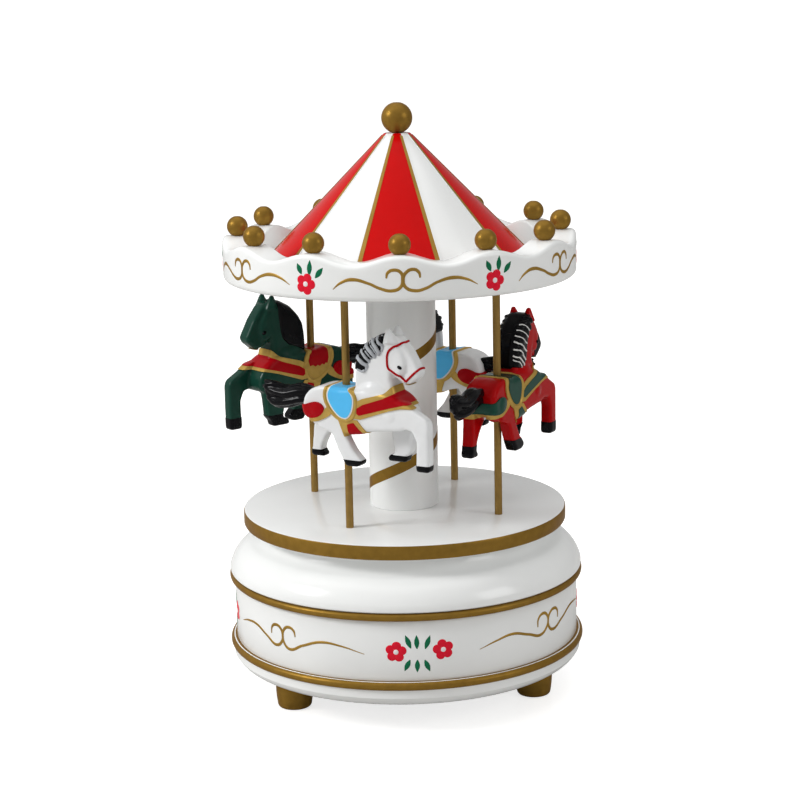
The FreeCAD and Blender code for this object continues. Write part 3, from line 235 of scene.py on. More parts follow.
def plastic(name, colour, roughness=0.4):
    return finish(name, colour, roughness=roughness, mottle=0.05, grain=500, fine=5000, bump=0.05)


# ---- workshop

def object_mode():
    bpy.ops.object.mode_set(mode="OBJECT")


def nothing_selected():
    if bpy.context.object and bpy.context.object.mode != "OBJECT":
        object_mode()
    bpy.ops.object.select_all(action="DESELECT")


def select_only(*objects):
    nothing_selected()
    for thing in objects:
        thing.select_set(True)
    bpy.context.view_layer.objects.active = objects[-1]


def take(name):
    """The object just added, with its name and with its place in its mesh."""
    thing = bpy.context.object
    thing.name = thing.data.name = name
    select_only(thing)
    bpy.ops.object.transform_apply(location=True, rotation=True, scale=True)
    return thing


def pick(thing, test):
    """Selects the vertices that pass the test, in edit mode."""
    mesh = bmesh.from_edit_mesh(thing.data)
    for face in mesh.faces:
        face.select_set(False)
    for edge in mesh.edges:
        edge.select_set(False)
    for vertex in mesh.verts:
        vertex.select_set(bool(test(vertex.co)))
    mesh.select_flush_mode()
    bmesh.update_edit_mesh(thing.data)


def select_all():
    bpy.ops.mesh.select_all(action="SELECT")


def open_up(thing):
    """Goes into edit mode with all of the thing selected."""
    select_only(thing)
    bpy.ops.object.mode_set(mode="EDIT")
    select_all()


def close_up():
    """Merges doubles and turns every face outwards, in edit mode, and goes back to object mode."""
    select_all()
    bpy.ops.mesh.remove_doubles(threshold=0.000001)
    bpy.ops.mesh.normals_make_consistent(inside=False)
    object_mode()


def smooth(thing, angle=CREASE):
    select_only(thing)
    bpy.ops.object.shade_smooth_by_angle(angle=angle)


def wear(thing, *materials):
    thing.data.materials.clear()
    for material in materials:
        thing.data.materials.append(material)


def apply_modifier(thing, kind, **settings):
    select_only(thing)
    modifier = thing.modifiers.new(kind.title(), kind)
    for key, value in settings.items():
        setattr(modifier, key, value)
    bpy.ops.object.modifier_apply(modifier=modifier.name)


def join(name, things):
    select_only(*things)
    if len(things) > 1:
        bpy.ops.object.join()
    thing = bpy.context.object
    thing.name = thing.data.name = name
    return thing


def copy_of(thing, name):
    copy = thing.copy()
    copy.data = thing.data.copy()
    copy.name = copy.data.name = name
    bpy.context.scene.collection.objects.link(copy)
    return copy


def throw_away(*things):
    for thing in things:
        bpy.data.objects.remove(thing)


def set_in_place(thing, matrix):
    thing.data.transform(matrix)
    thing.data.update()


def arc(start, end, bulge, count=8):
    """Points after start up to end, on an arc that stands off the straight line by bulge. All in mm."""
    (x0, y0), (x1, y1) = start, end
    points = []
    for i in range(1, count + 1):
        t = i / count
        stand = bulge * 4 * t * (1 - t)
        dx, dy = x1 - x0, y1 - y0
        length = math.hypot(dx, dy)
        points.append((x0 + dx * t + stand * dy / length, y0 + dy * t - stand * dx / length))
    return points


def turned(name, profile, steps=TURN_STEPS):
    """A profile of (radius, height) points in mm, turned on the lathe."""
    nothing_selected()
    bpy.ops.mesh.primitive_plane_add(size=MM, location=(profile[0][0] * MM, 0, profile[0][1] * MM))
    thing = take(name)
    open_up(thing)
    bpy.ops.mesh.merge(type="CENTER")
    for (r0, z0), (r1, z1) in zip(profile, profile[1:]):
        bpy.ops.mesh.extrude_region_move(TRANSFORM_OT_translate={"value": ((r1 - r0) * MM, 0, (z1 - z0) * MM)})
    select_all()
    bpy.ops.mesh.remove_doubles(threshold=0.000001)
    select_all()
    bpy.ops.mesh.spin(steps=steps, angle=2 * math.pi, center=(0, 0, 0), axis=(0, 0, 1))
    close_up()
    smooth(thing)
    return thing


def stroke(name, points, half_width, rings=8, sides=2):
    """A brush stroke or a strand through (x, y, z, share of the half width), in mm."""
    nothing_selected()
    bpy.ops.curve.primitive_bezier_curve_add()
    thing = bpy.context.object
    curve = thing.data
    curve.splines.clear()
    spline = curve.splines.new("BEZIER")
    spline.bezier_points.add(len(points) - 1)
    for knot, (x, y, z, share) in zip(spline.bezier_points, points):
        knot.co = Vector((x, y, z)) * MM
        knot.radius = max(share, 0.02)
        knot.handle_left_type = knot.handle_right_type = "AUTO"
    curve.dimensions = "3D"
    curve.bevel_depth = half_width
    curve.bevel_resolution = sides
    curve.resolution_u = rings
    curve.use_fill_caps = True
    thing.location = (0, 0, 0)
    select_only(thing)
    bpy.ops.object.convert(target="MESH")
    return take(name)


def flatten(thing, share):
    open_up(thing)
    bpy.ops.transform.resize(value=(1, share, 1), center_override=(0, 0, 0))
    object_mode()


def bend_round(thing, radius):
    """Bends a flat pattern, drawn in the XZ plane, round the vertical axis: X becomes the way round."""
    across = [v.co.x for v in thing.data.vertices]
    apply_modifier(
        thing, "SIMPLE_DEFORM", deform_method="BEND", deform_axis="Z", angle=(max(across) - min(across)) / radius,
    )
    set_in_place(thing, Matrix.Translation((0, -radius, 0)))


def spot(name, x, z, wide, high, thick, turn=0.0, pinch=1.0):
    """A domed dab of paint at (x, z) in mm, pinched towards the flower's middle."""
    nothing_selected()
    bpy.ops.mesh.primitive_uv_sphere_add(segments=20, ring_count=8, radius=MM)
    thing = take(name)
    open_up(thing)
    bpy.ops.transform.resize(value=(wide, thick, high))
    pick(thing, lambda co: co.z < -0.2 * high * MM)
    bpy.ops.transform.resize(value=(pinch, 1, 1))
    object_mode()
    set_in_place(thing, Matrix.Translation((x * MM, 0, z * MM)) @ Matrix.Rotation(turn, 4, "Y"))
    return thing


def settle(thing, material, body, slot, *nodes):
    """Gives the piece a finish (None keeps its own), its body, its slot and the packed parts it stands for."""
    if material:
        wear(thing, material)
    thing.matrix_world = Matrix.Identity(4)
    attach(thing, body)
    if nodes:
        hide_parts(*nodes)


# ---- turned wood

def make_base():
    profile = [(41.03, 16.2), (50.9, 16.2), (DRUM_RADIUS, 16.4), (DRUM_RADIUS, 33.6), (50.9, 33.8), (41.03, 33.8),
        (41.03, 16.2)]
    settle(turned("base_drum_shell", profile), lacquer(), "base", "white_lacquer", "base_drum")
    profile = [(36.0, 39.0), (36.0, 33.8), (51.3, 33.8), (51.3, 36.15), (52.05, 36.3), (52.3, 36.6), (52.3, 37.7)]
    profile += arc((52.3, 37.7), (46.3, 44.7), 1.1, 12)
    profile += arc((46.3, 44.7), (42.6, 48.9), -0.95, 10)
    profile += [(6.0, 48.9), (6.0, 39.0), (36.0, 39.0)]
    settle(turned("base_cap_shell", profile), lacquer(), "base", "white_lacquer", "base_top")


def make_beads():
    stand = sizes().bead_stand / MM
    for name, low, high, inner, outer in (
        ("lower_bead", 13.7, 16.2, 50.6, 52.77), ("upper_bead", 33.8, 36.0, 50.6, 52.5),
    ):
        middle = (low + high) / 2
        half = (high - low) / 2 + 0.02
        profile = [(inner, middle - half), (inner + 0.7, middle - half)]
        reach = outer + stand - inner - 0.7
        for i in range(1, 16):
            a = math.pi * i / 16 - math.pi / 2
            profile.append((inner + 0.7 + reach * math.cos(a) ** 0.8, middle + half * math.sin(a)))
        profile += [(inner + 0.7, middle + half), (inner, middle + half), (inner, middle - half)]
        settle(turned(name, profile), gold_paint(), "base", "gold_paint")


def make_turntable():
    profile = [(5.05, 54.5), (47.0, 54.5), (47.55, 54.3), (47.72, 53.8), (47.72, 50.6), (47.55, 50.1), (47.0, 49.9),
        (9.0, 49.9), (9.0, 51.9), (5.05, 51.9), (5.05, 54.5)]
    settle(turned("turntable_disc", profile), lacquer(), "carousel", "white_lacquer", "turntable")
    profile = [(47.2, 50.05), (47.6, 50.2), (47.82, 50.6), (47.84, 52.2), (47.82, 53.75), (47.62, 54.2), (47.2, 54.35),
        (47.2, 50.05)]
    settle(turned("turntable_band", profile), gold_paint(), "carousel", "gold_paint", "turntable")


def make_column():
    profile = [(5.0, 52.1), (10.0, 54.4), (10.2, 54.7), (10.2, 122.9), (10.0, 123.15), (5.0, 126.1), (1.6, 126.1),
        (1.6, 52.1), (5.0, 52.1)]
    settle(turned("column_post", profile), lacquer(), "carousel", "white_lacquer", "column")
    height, pitch = sizes().column_band, sizes().column_pitch
    low, high = POST_LOW * MM, POST_HIGH * MM
    nothing_selected()
    bpy.ops.mesh.primitive_plane_add(size=1)
    band = take("column_band")
    start = -math.radians(22)
    turns = (high - low) / pitch + 1
    lift = BAND_CROSSING * MM - pitch * (1 - start / (2 * math.pi)) - pitch
    for vertex, (r, z) in zip(band.data.vertices, ((10.05, -0.5), (10.27, -0.46), (10.05, 0.5), (10.27, 0.46))):
        vertex.co = (0, -r * MM, lift + z * height)
    apply_modifier(
        band, "SCREW", axis="Z", angle=turns * 2 * math.pi + math.pi, screw_offset=pitch * (turns + 0.5),
        steps=int(96 * turns), render_steps=int(96 * turns), use_smooth_shade=True,
    )
    bpy.ops.object.mode_set(mode="EDIT")
    for level, above in ((low, True), (high, False)):
        select_all()
        bpy.ops.mesh.bisect(
            plane_co=(0, 0, level), plane_no=(0, 0, 1), clear_inner=above, clear_outer=not above, use_fill=False,
        )
    close_up()
    smooth(band)
    settle(band, gold_paint(), "carousel", "gold_paint", "column")


def wave(angle):
    """Height of the crown's edge above its troughs, from 0 to 1, with a crest under each ball."""
    return 0.5 + 0.5 * math.cos(BALL_COUNT * angle)


def make_crown():
    profile = [(42.7, 123.1), (49.9, 123.1)] + arc((49.9, 123.1), (CROWN_RADIUS, 124.6), 0.33, 6)
    profile += [
        (CROWN_RADIUS, z)
        for z in (WAVE_START, 131.0, 131.9)
    ] + arc((CROWN_RADIUS, 131.9), (50.1, 133.0), 0.25, 6)
    profile += [(43.4, 133.0)] + arc((43.4, 133.0), (42.7, 132.4), 0.12, 4) + [(42.7, 123.1)]
    ring = turned("crown_wave", profile, steps=360)
    for vertex in ring.data.vertices:
        z = vertex.co.z / MM
        rise = max(0.0, min(1.0, (z - WAVE_START) / WAVE_REACH))
        vertex.co.z += WAVE_HEIGHT * MM * wave(math.atan2(vertex.co.x, -vertex.co.y)) * rise * rise
    settle(ring, lacquer(), "carousel", "white_lacquer", "crown_ring")
    profile = [(1.6, 123.1), (42.6, 123.1), (42.6, 127.0), (42.3, 127.1), (1.6, 127.1), (1.6, 123.1)]
    settle(turned("canopy_disc", profile), lacquer(), "carousel", "white_lacquer", "canopy_board")


def make_roof():
    cone = turned(
        "roof_panels",
        [(1.6, 127.1), (39.5, 127.1), (39.6, 127.3), (39.55, 127.75), (21.75, 145.95), (3.9, 164.15), (3.6, 164.3),
            (1.6, 164.3), (1.6, 127.1)],
        steps=360,
    )
    wear(cone, own_paint("roof_red", 0.16, 0.06), lacquer())
    width = 2 * math.pi / PANEL_COUNT
    for face in cone.data.polygons:
        x, y, _ = face.center
        turn = math.atan2(x, -y) + math.radians(0.5) + width / 2
        face.material_index = int(turn // width) % 2
    settle(cone, None, "carousel", "roof_paint", "roof_cone")
    stripe = sizes().roof_stripe
    for name, material, across, centre, stand in (
        ("roof_stripes", gilt_line(), stripe, -0.0002, 0.00012),
        ("roof_edges", lacquer(), 0.0004, 0.0006, 0.00016),
    ):
        strips = []
        for number in range(PANEL_COUNT):
            side = 1 if number % 2 else -1
            nothing_selected()
            bpy.ops.mesh.primitive_plane_add(size=1)
            strip = take(f"{name}_{number}")
            low, high = (39.5, 127.8), (4.3, 163.7)
            for vertex, (u, end) in zip(strip.data.vertices, ((-0.5, 0), (0.5, 0), (-0.5, 1), (0.5, 1))):
                r, z = high if end else low
                narrow = 0.55 if end else 1
                vertex.co = ((u * across + centre * side) * narrow, -r * MM, z * MM)
            open_up(strip)
            bpy.ops.mesh.subdivide(number_cuts=3)
            bpy.ops.mesh.extrude_region_move(TRANSFORM_OT_translate={"value": (0, -stand * 0.72, stand * 0.7)})
            close_up()
            azimuth = math.radians(-0.5) + width * (number - 0.5)
            set_in_place(strip, Matrix.Rotation(azimuth, 4, "Z"))
            strips.append(strip)
        whole = join(name, strips)
        settle(whole, material, "carousel", "roof_paint", "roof_cone")


def ball(name, radius, flat_low, flat_high):
    """A turned wooden ball with flats where it was held in the lathe, round the origin."""
    low, high = math.asin(flat_low), math.pi - math.asin(flat_high)
    profile = [(0, -radius * math.cos(low))]
    for i in range(25):
        a = low + (high - low) * i / 24
        profile.append((radius * math.sin(a), -radius * math.cos(a)))
    profile.append((0, radius * math.cos(math.asin(flat_high))))
    return turned(name, profile, steps=64)


def make_balls():
    radius = sizes().ball_radius / MM
    master = ball("rim_ball", radius, 0.42, 0.3)
    for number in range(BALL_COUNT):
        node = f"rim_ball_{number + 1:02d}"
        low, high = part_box(node)
        centre = Vector(((low.x + high.x) / 2, (low.y + high.y) / 2, high.z - radius * MM))
        piece = copy_of(master, f"gold_{node}")
        set_in_place(piece, Matrix.Translation(centre) @ Matrix.Rotation(number * 0.7, 4, "Z"))
        settle(piece, gold_paint(), "carousel", "gold_paint", node)
    throw_away(master)
    low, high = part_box("finial_ball")
    top = ball("gold_finial", sizes().finial_radius / MM, 0.4, 0.22)
    set_in_place(top, Matrix.Translation((0, 0, high.z - sizes().finial_radius)))
    settle(top, gold_paint(), "carousel", "gold_paint", "finial_ball")


def make_feet():
    profile = [(0, 0.0), (4.1, 0.0)] + arc((4.1, 0.0), (4.95, 0.9), 0.18, 4)
    profile += arc((4.95, 0.9), (5.4, 8.3), 0.2, 6) + [(3.0, 8.4), (3.0, 13.0), (0, 13.0)]
    master = turned("foot", profile, steps=96)
    for number in (1, 2, 3):
        low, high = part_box(f"foot_{number}")
        piece = copy_of(master, f"gold_foot_{number}")
        set_in_place(piece, Matrix.Translation(((low.x + high.x) / 2, (low.y + high.y) / 2, low.z)))
        settle(piece, gold_paint(), "base", "gold_paint", f"foot_{number}")
    throw_away(master)


# ---- painted flowers and swirls

def paint_group(name, material, body, node, radius, marks):
    group = join(name, marks)
    bend_round(group, radius * MM)
    smooth(group, math.radians(60))
    settle(group, material, body, "gold_paint" if "swirl" in name else "white_lacquer", node)


def paint_bouquets(name, body, node, radius, bouquets, leaf_half):
    """Flowers of (azimuth, height, turn) and leaves of (tip, root), as three pieces: petals, middles and leaves."""
    petals, centres, leaves = [], [], []
    for flowers, blades in bouquets:
        for place in flowers:
            around, centre = flower(radius, *place)
            petals += around
            centres.append(centre)
        leaves += [leaf(radius, tip, root, leaf_half) for tip, root in blades]
    paint_group(f"{name}_petals", own_paint("petal_red"), body, node, radius, petals)
    paint_group(f"{name}_flower_eyes", gloss_paint("flower_eye", (0.85, 0.8, 0.8)), body, node, radius, centres)
    paint_group(f"{name}_leaves", own_paint("leaf_green"), body, node, radius, leaves)


def swung(blades, middle):
    """Leaves moved round to the flower at the azimuth middle."""
    return [tuple((azimuth + middle, height) for azimuth, height in blade) for blade in blades]


def way_round(azimuth, radius):
    return math.radians(azimuth) * radius


def swirl_marks(radius, centres, line):
    """One swirl at each azimuth: strokes of (degrees from the centre, height, share of the width)."""
    marks = []
    for centre in centres:
        for part in line:
            points = [(way_round(centre + a, radius), 0, z, share) for a, z, share in part]
            mark = stroke("mark", points, sizes().swirl_stroke, rings=10)
            flatten(mark, STROKE_RELIEF)
            marks.append(mark)
    return marks


def leaf(radius, tip, root, half):
    (a0, z0), (a1, z1) = tip, root
    x0, x1 = way_round(a0, radius), way_round(a1, radius)
    shares = (0.05, 0.55, 0.95, 1.0, 0.7, 0.2)
    points = [(x0 + (x1 - x0) * i / 5, 0, z0 + (z1 - z0) * i / 5, s) for i, s in enumerate(shares)]
    mark = stroke("mark", points, half * MM, rings=4)
    flatten(mark, LEAF_RELIEF)
    return mark


def flower(radius, azimuth, height, turn):
    x, reach = way_round(azimuth, radius), sizes().petal_reach / MM
    petals = []
    for i in range(5):
        a = turn + 2 * math.pi * i / 5
        petals.append(spot("petal", x + reach * math.sin(a), height + reach * math.cos(a), 1.32, 1.22, 0.16, a, 0.9))
    petals.append(spot("petal", x, height, 1.2, 1.2, 0.15))
    return petals, spot("eye", x, height, 0.82, 0.82, 0.26)


def paint_drum():
    left = [
        [(-25.8, 24.6, 0.25), (-20.0, 25.9, 0.7), (-14.0, 26.05, 0.9), (-8.0, 24.1, 0.85), (-2.9, 22.35, 1.0),
            (-0.4, 23.9, 1.0), (0.0, 25.8, 1.0), (-1.0, 27.7, 1.0), (-2.9, 28.35, 1.0), (-5.0, 27.5, 0.9),
            (-5.5, 25.4, 0.5)],
        [(5.5, 26.2, 0.5), (5.0, 27.8, 0.9), (2.7, 28.6, 1.0), (0.7, 27.6, 1.0), (0.0, 25.8, 1.0), (0.5, 23.8, 1.0),
            (2.7, 22.2, 1.0), (8.5, 24.1, 0.85), (15.7, 26.1, 0.9), (22.5, 25.7, 0.6), (30.3, 23.9, 0.2)],
    ]
    right = [
        [(-29.2, 23.75, 0.2), (-23.0, 25.4, 0.6), (-16.9, 26.3, 0.9), (-10.0, 24.8, 0.85), (-3.8, 23.45, 1.0),
            (-0.9, 25.0, 1.0), (0.0, 26.9, 1.0), (-1.0, 28.9, 1.0), (-3.1, 29.5, 1.0), (-5.2, 28.4, 0.9),
            (-5.6, 26.0, 0.5)],
        [(6.0, 26.4, 0.5), (5.7, 28.6, 0.9), (3.5, 29.6, 1.0), (1.1, 28.8, 1.0), (0.0, 26.9, 1.0), (0.4, 24.9, 1.0),
            (2.4, 23.55, 1.0), (9.0, 25.2, 0.85), (16.0, 27.2, 0.9), (22.5, 27.1, 0.6), (29.2, 25.9, 0.2)],
    ]
    marks = swirl_marks(DRUM_RADIUS, (-44, 136), left) + swirl_marks(DRUM_RADIUS, (52.5, -127.5), right)
    paint_group("drum_swirls", gilt_line(), "base", "base_drum", DRUM_RADIUS, marks)
    blades = [
        ((-0.7, 29.65), (1.0, 25.8)),
        ((2.8, 29.6), (2.9, 25.6)),
        ((7.1, 29.4), (5.5, 25.5)),
        ((-1.1, 19.2), (0.7, 22.45)),
        ((2.9, 18.8), (3.0, 22.4)),
        ((6.9, 18.9), (5.3, 22.3)),
    ]
    bouquets = []
    for middle in (0, 90, 180, -90):
        flowers = []
        for azimuth, height, turn in ((-3.7, 24.8, 0.1), (11.2, 25.05, -0.2)):
            azimuth += middle
            flowers.append((azimuth if azimuth < 180 else azimuth - 360, height, turn))
        bouquets.append((flowers, swung(blades, middle)))
    paint_bouquets("drum", "base", "base_drum", DRUM_RADIUS, bouquets, 0.72)


def paint_crown():
    line = [
        [(-20.8, 126.5, 0.25), (-18.3, 128.3, 0.8), (-14.9, 129.3, 1.1), (-9.6, 128.3, 0.85), (-6.0, 126.9, 0.9),
            (-2.6, 126.3, 1.0), (0.0, 127.2, 1.0), (0.8, 129.3, 1.15), (0.2, 131.2, 1.0), (-1.8, 131.9, 1.0),
            (-3.7, 131.2, 0.95), (-4.2, 129.7, 0.55)],
        [(6.0, 129.7, 0.55), (5.6, 131.2, 0.95), (4.0, 132.0, 1.0), (1.8, 131.2, 1.0), (0.8, 129.3, 1.15),
            (1.6, 127.2, 1.0), (4.5, 126.2, 1.0), (7.8, 126.8, 0.9), (11.2, 128.3, 0.85), (16.1, 129.3, 1.1),
            (20.6, 128.6, 0.8), (24.1, 127.0, 0.2)],
    ]
    marks = swirl_marks(CROWN_RADIUS, (0, 60, 120, -180, -60, -120), line)
    paint_group("crown_swirls", gilt_line(), "carousel", "crown_ring", CROWN_RADIUS, marks)
    blades = [((-2.9, 133.2), (-1.4, 130.2)), ((1.7, 134.25), (1.3, 130.0)), ((6.1, 132.3), (3.4, 129.4))]
    bouquets = [([(middle, 127.6, 0.35)], swung(blades, middle)) for middle in (-150, -90, -30, 30, 90, 150)]
    paint_bouquets("crown", "carousel", "crown_ring", CROWN_RADIUS, bouquets, 0.78)


# ---- horses

TORSO = [(-11.4, 14.6), (-12.0, 17.4), (-11.3, 20.2), (-9.4, 22.2), (-6.4, 23.3), (-3.0, 23.5), (0.5, 22.8),
    (3.3, 23.0), (10.0, 23.0), (15.6, 22.8), (18.6, 21.2), (20.9, 19.0), (22.2, 16.6), (22.2, 14.0), (20.6, 12.4),
    (12.0, 11.7), (6.1, 10.7), (3.0, 10.3), (-2.0, 11.8), (-7.0, 12.4)]
NECK = [(4.4, 18), (4.6, 24), (4.8, 28), (6.8, 33.6), (12.4, 38.4), (15.5, 38.8), (18.3, 34), (16.6, 29), (16.2, 26.0),
    (16.8, 24.0), (19, 18)]
HEAD = [(12.2, 34.5), (12.6, 37.6), (16.2, 38.8), (18.2, 38.5), (19.4, 37.3), (21.8, 34.3), (23.9, 30.6), (24.8, 29.0),
    (24.2, 27.6), (21.4, 25.3), (19.2, 25.9), (15.7, 27.8), (13.6, 30.4)]
CHEEK = [(12.6, 34.2), (14.3, 37.2), (17.8, 37.0), (20.0, 34.0), (20.9, 30.8), (19.4, 27.2), (16.6, 28.0), (13.8, 30.8)]
FORE_LEG = [(16, 17.5), (18, 21.0), (21.5, 20.3), (25.6, 17.8), (28.1, 16.5), (28.9, 15.0), (28.9, 8.0), (28.8, 1.6),
    (24.7, 1.6), (24.8, 6.0), (24.9, 10), (23.6, 12.8), (20.5, 13.2), (16, 12.5)]
BENT_LEG = [(13.4, 14), (20.8, 14.5), (20.0, 9.8), (19.6, 5.2), (18.2, 3.9), (17.9, 2.2), (12.2, 2.2), (12.1, 3.4),
    (14.4, 4.6), (13.9, 6.6), (13.4, 10)]
HIND_LEG = [(-9.5, 16), (-2, 17), (1.6, 11.5), (2.8, 8.7), (4.6, 5.6), (7.2, 2.9), (7.2, 1.9), (5.6, 1.1), (2.2, 1.1),
    (0.9, 3.3), (-0.5, 5.8), (-2.2, 9.9), (-6.5, 11.5)]
BACK_LEG = [(-12.2, 15.5), (-12.2, 10.8), (-12.9, 4.0), (-13.4, 2.2), (-12.9, 1.4), (-8.9, 1.4), (-9.2, 2.2),
    (-10.0, 3.2), (-9.4, 5.3), (-8.0, 7.8), (-5.5, 10.5), (-3, 14)]
TAIL = [(-10, 21.6), (-15, 22.1), (-20, 20.9), (-24.4, 22.4), (-27.4, 21.8), (-27.0, 18.6), (-23.7, 15.4),
    (-19.5, 15.6), (-15.5, 17.2), (-10.5, 17.8)]
NARROW_MANE = [(4.3, 28.4), (4.9, 31.6), (6.4, 34.2), (9.0, 36.9), (13.0, 39.2), (14.9, 39.3), (15.3, 36.9),
    (14.2, 33.8), (11.9, 32.4), (10.0, 30.7), (9.0, 28.4), (8.6, 27.3), (6.0, 28.0)]
WIDE_MANE = [(4.2, 24.6), (4.3, 28.6), (4.9, 31.8), (6.4, 34.4), (9.1, 37.1), (13.0, 39.5), (15.6, 39.6), (15.6, 36.5),
    (14.0, 33.0), (13.0, 30.0), (12.6, 27.0), (11.0, 24.0), (8.0, 23.2)]
FULL_MANE = [(4.1, 23.4), (4.3, 28.6), (4.9, 31.8), (6.4, 34.4), (9.1, 37.1), (13.0, 39.2), (15.0, 39.3), (15.0, 36.5),
    (14.6, 33.0), (14.2, 30.0), (13.4, 27.4), (11.0, 25.0), (7.5, 23.6), (5.0, 22.8)]


def slab(name, outline, half, side=0.0, soft=0.0):
    """A flat-sided block: an outline of (ahead, height) in mm, thickened across and eased along its edges."""
    nothing_selected()
    bpy.ops.mesh.primitive_circle_add(vertices=len(outline), radius=MM, fill_type="NGON")
    thing = take(name)
    for vertex, (x, z) in zip(thing.data.vertices, outline):
        vertex.co = (x * MM, (side - half) * MM, z * MM)
    open_up(thing)
    bpy.ops.mesh.extrude_region_move(TRANSFORM_OT_translate={"value": (0, 2 * half * MM, 0)})
    select_all()
    bpy.ops.mesh.normals_make_consistent(inside=False)
    if soft:
        bpy.ops.mesh.bevel(offset=soft * MM, segments=2, affect="EDGES", clamp_overlap=True)
    close_up()
    return thing


def lump(x, y, z, rx, ry, rz, turn=0.0):
    """A rounded muscle, (x, y, z) in mm, leaning in the side view."""
    nothing_selected()
    bpy.ops.mesh.primitive_uv_sphere_add(segments=24, ring_count=12, radius=MM)
    thing = take("lump")
    set_in_place(
        thing,
        Matrix.Translation(Vector((x, y, z)) * MM) @ Matrix.Rotation(turn, 4, "Y") @ Matrix.Diagonal((rx, ry, rz, 1)),
    )
    return thing


def remoulded(name, parts, voxel, rounds):
    """Parts cast as one: joined, remeshed and eased."""
    thing = join(name, parts)
    apply_modifier(thing, "REMESH", mode="VOXEL", voxel_size=voxel, use_smooth_shade=True)
    apply_modifier(thing, "SMOOTH", factor=0.5, iterations=rounds)
    select_only(thing)
    bpy.ops.object.shade_smooth()
    return thing


def horse_body():
    parts = [
        slab("part", TORSO, 5.0, 0, 2.0),
        slab("part", NECK, 3.5, 0, 1.3),
        slab("part", HEAD, 2.2, 0, 0.6),
        slab("part", CHEEK, 3.4, 0, 1.1),
    ]
    for outline, side in ((FORE_LEG, -1), (BENT_LEG, 1), (HIND_LEG, -1), (BACK_LEG, 1)):
        parts.append(slab("part", outline, LEG_HALF, side * LEG_PLACE, 0.7))
    for side in (-1, 1):
        parts += [
            lump(-6.6, side * 2.6, 16.4, 4.8, 2.75, 5.2),
            lump(16.6, side * 2.6, 16.6, 4.4, 2.75, 4.4),
            lump(10.4, side * 1.5, 22.0, 6.4, 3.3, 4.6),
            lump(19.3, side * 2.3, 33.2, 2.3, 0.9, 0.9, 1.05),
            ear(side),
        ]
    return remoulded("horse_body", parts, sizes().horse_voxel, 2)


def ear(side):
    """A pointed ear with flat faces, leaning out from the poll."""
    nothing_selected()
    bpy.ops.mesh.primitive_cone_add(vertices=6, radius1=3.0 * MM, radius2=0.7 * MM, depth=4.0 * MM)
    thing = take("ear")
    bpy.ops.object.mode_set(mode="EDIT")
    pick(thing, lambda co: co.z > 0)
    bpy.ops.transform.translate(value=(-0.3 * MM, side * 0.5 * MM, 0))
    object_mode()
    set_in_place(thing, Matrix.Translation(Vector((15.9, side * 2.1, 38.9)) * MM) @ Matrix.Diagonal((0.85, 0.8, 1, 1)))
    return thing


def grown(body, stand):
    shell = copy_of(body, "shell")
    apply_modifier(shell, "DISPLACE", strength=stand, mid_level=0.0, direction="NORMAL")
    return shell


def patch(name, body, stand, outlines, side=0):
    """A raised, painted area: the grown body within outlines of the side view, on one flank if side is -1 or 1."""
    cutters = [slab("cutter", outline, 4.0 if side else 8.0, 4.05 * side) for outline in outlines]
    cutter = join("cutter", cutters)
    shell = grown(body, stand)
    shell.name = shell.data.name = name
    apply_modifier(shell, "BOOLEAN", operation="INTERSECT", object=cutter, solver="EXACT", use_self=len(cutters) > 1)
    throw_away(cutter)
    smooth(shell, math.radians(40))
    return shell


SADDLE_RIM = [(-2.6, 25), (-4.3, 22.8), (-4.8, 20.2), (-3.2, 16.8), (-0.8, 14.5), (1.6, 13.7), (3.6, 13.6), (5.1, 14.5),
    (6.3, 17.1), (6.5, 20.4), (5.6, 22.4), (4.2, 23.6), (3.6, 25)]
SADDLE = [(-1.3, 25), (-2.6, 22.8), (-3.1, 20.4), (-1.6, 17.6), (0.6, 15.4), (2.2, 14.9), (3.4, 15.3), (4.6, 17.2),
    (5.1, 20.2), (4.4, 22.0), (2.9, 23.2), (2.4, 25)]
BAND_GOLD = [(5.4, 19.5), (8.0, 20.8), (14.7, 22.7), (17.5, 25.4), (28, 25.4), (28, 19.2), (22.6, 19.1), (20.4, 19.0),
    (16.7, 18.1), (7.4, 14.9), (5.2, 15.0)]
BAND = [(6.4, 18.0), (8.3, 19.2), (14.5, 21.3), (17.2, 22.6), (19.0, 24.2), (28, 24.2), (28, 20.4), (21.3, 20.1),
    (16.8, 18.9), (7.1, 16.0), (6.3, 16.5)]
HIP_GOLD = [(-16, 16.4), (-16, 13.0), (-10, 12.6), (-8.2, 12.8), (-5.1, 13.7), (-1.6, 15.8), (-3.0, 18.2), (-5.0, 16.0),
    (-8, 15.0)]
HIP = [(-16, 17.3), (-16, 14.6), (-9.6, 13.9), (-8.0, 14.0), (-5.8, 14.7), (-4.2, 16.5), (-4.9, 18.2), (-6.8, 18.9),
    (-8.9, 18.5), (-11, 17.6)]
GIRTH_GOLD = [(-0.2, 15.2), (2.0, 9.6), (9.6, 9.6), (9.0, 11.6), (6.3, 14.6), (3.0, 14.6)]
GIRTH = [(3.1, 13.1), (3.7, 9.0), (8.0, 9.0), (7.6, 11.3), (5.2, 13.8), (4.0, 13.5)]
MUZZLE = [(23.2, 33), (21.6, 29.2), (19.8, 27.4), (19.6, 24), (28, 24), (28, 33)]
HOOF_BOXES = ((-1, 22.5, 31.0, 1.6), (1, 10.5, 19.9, 2.2), (-1, -2.5, 9.5, 1.1), (1, -15.0, -7.0, 1.4))
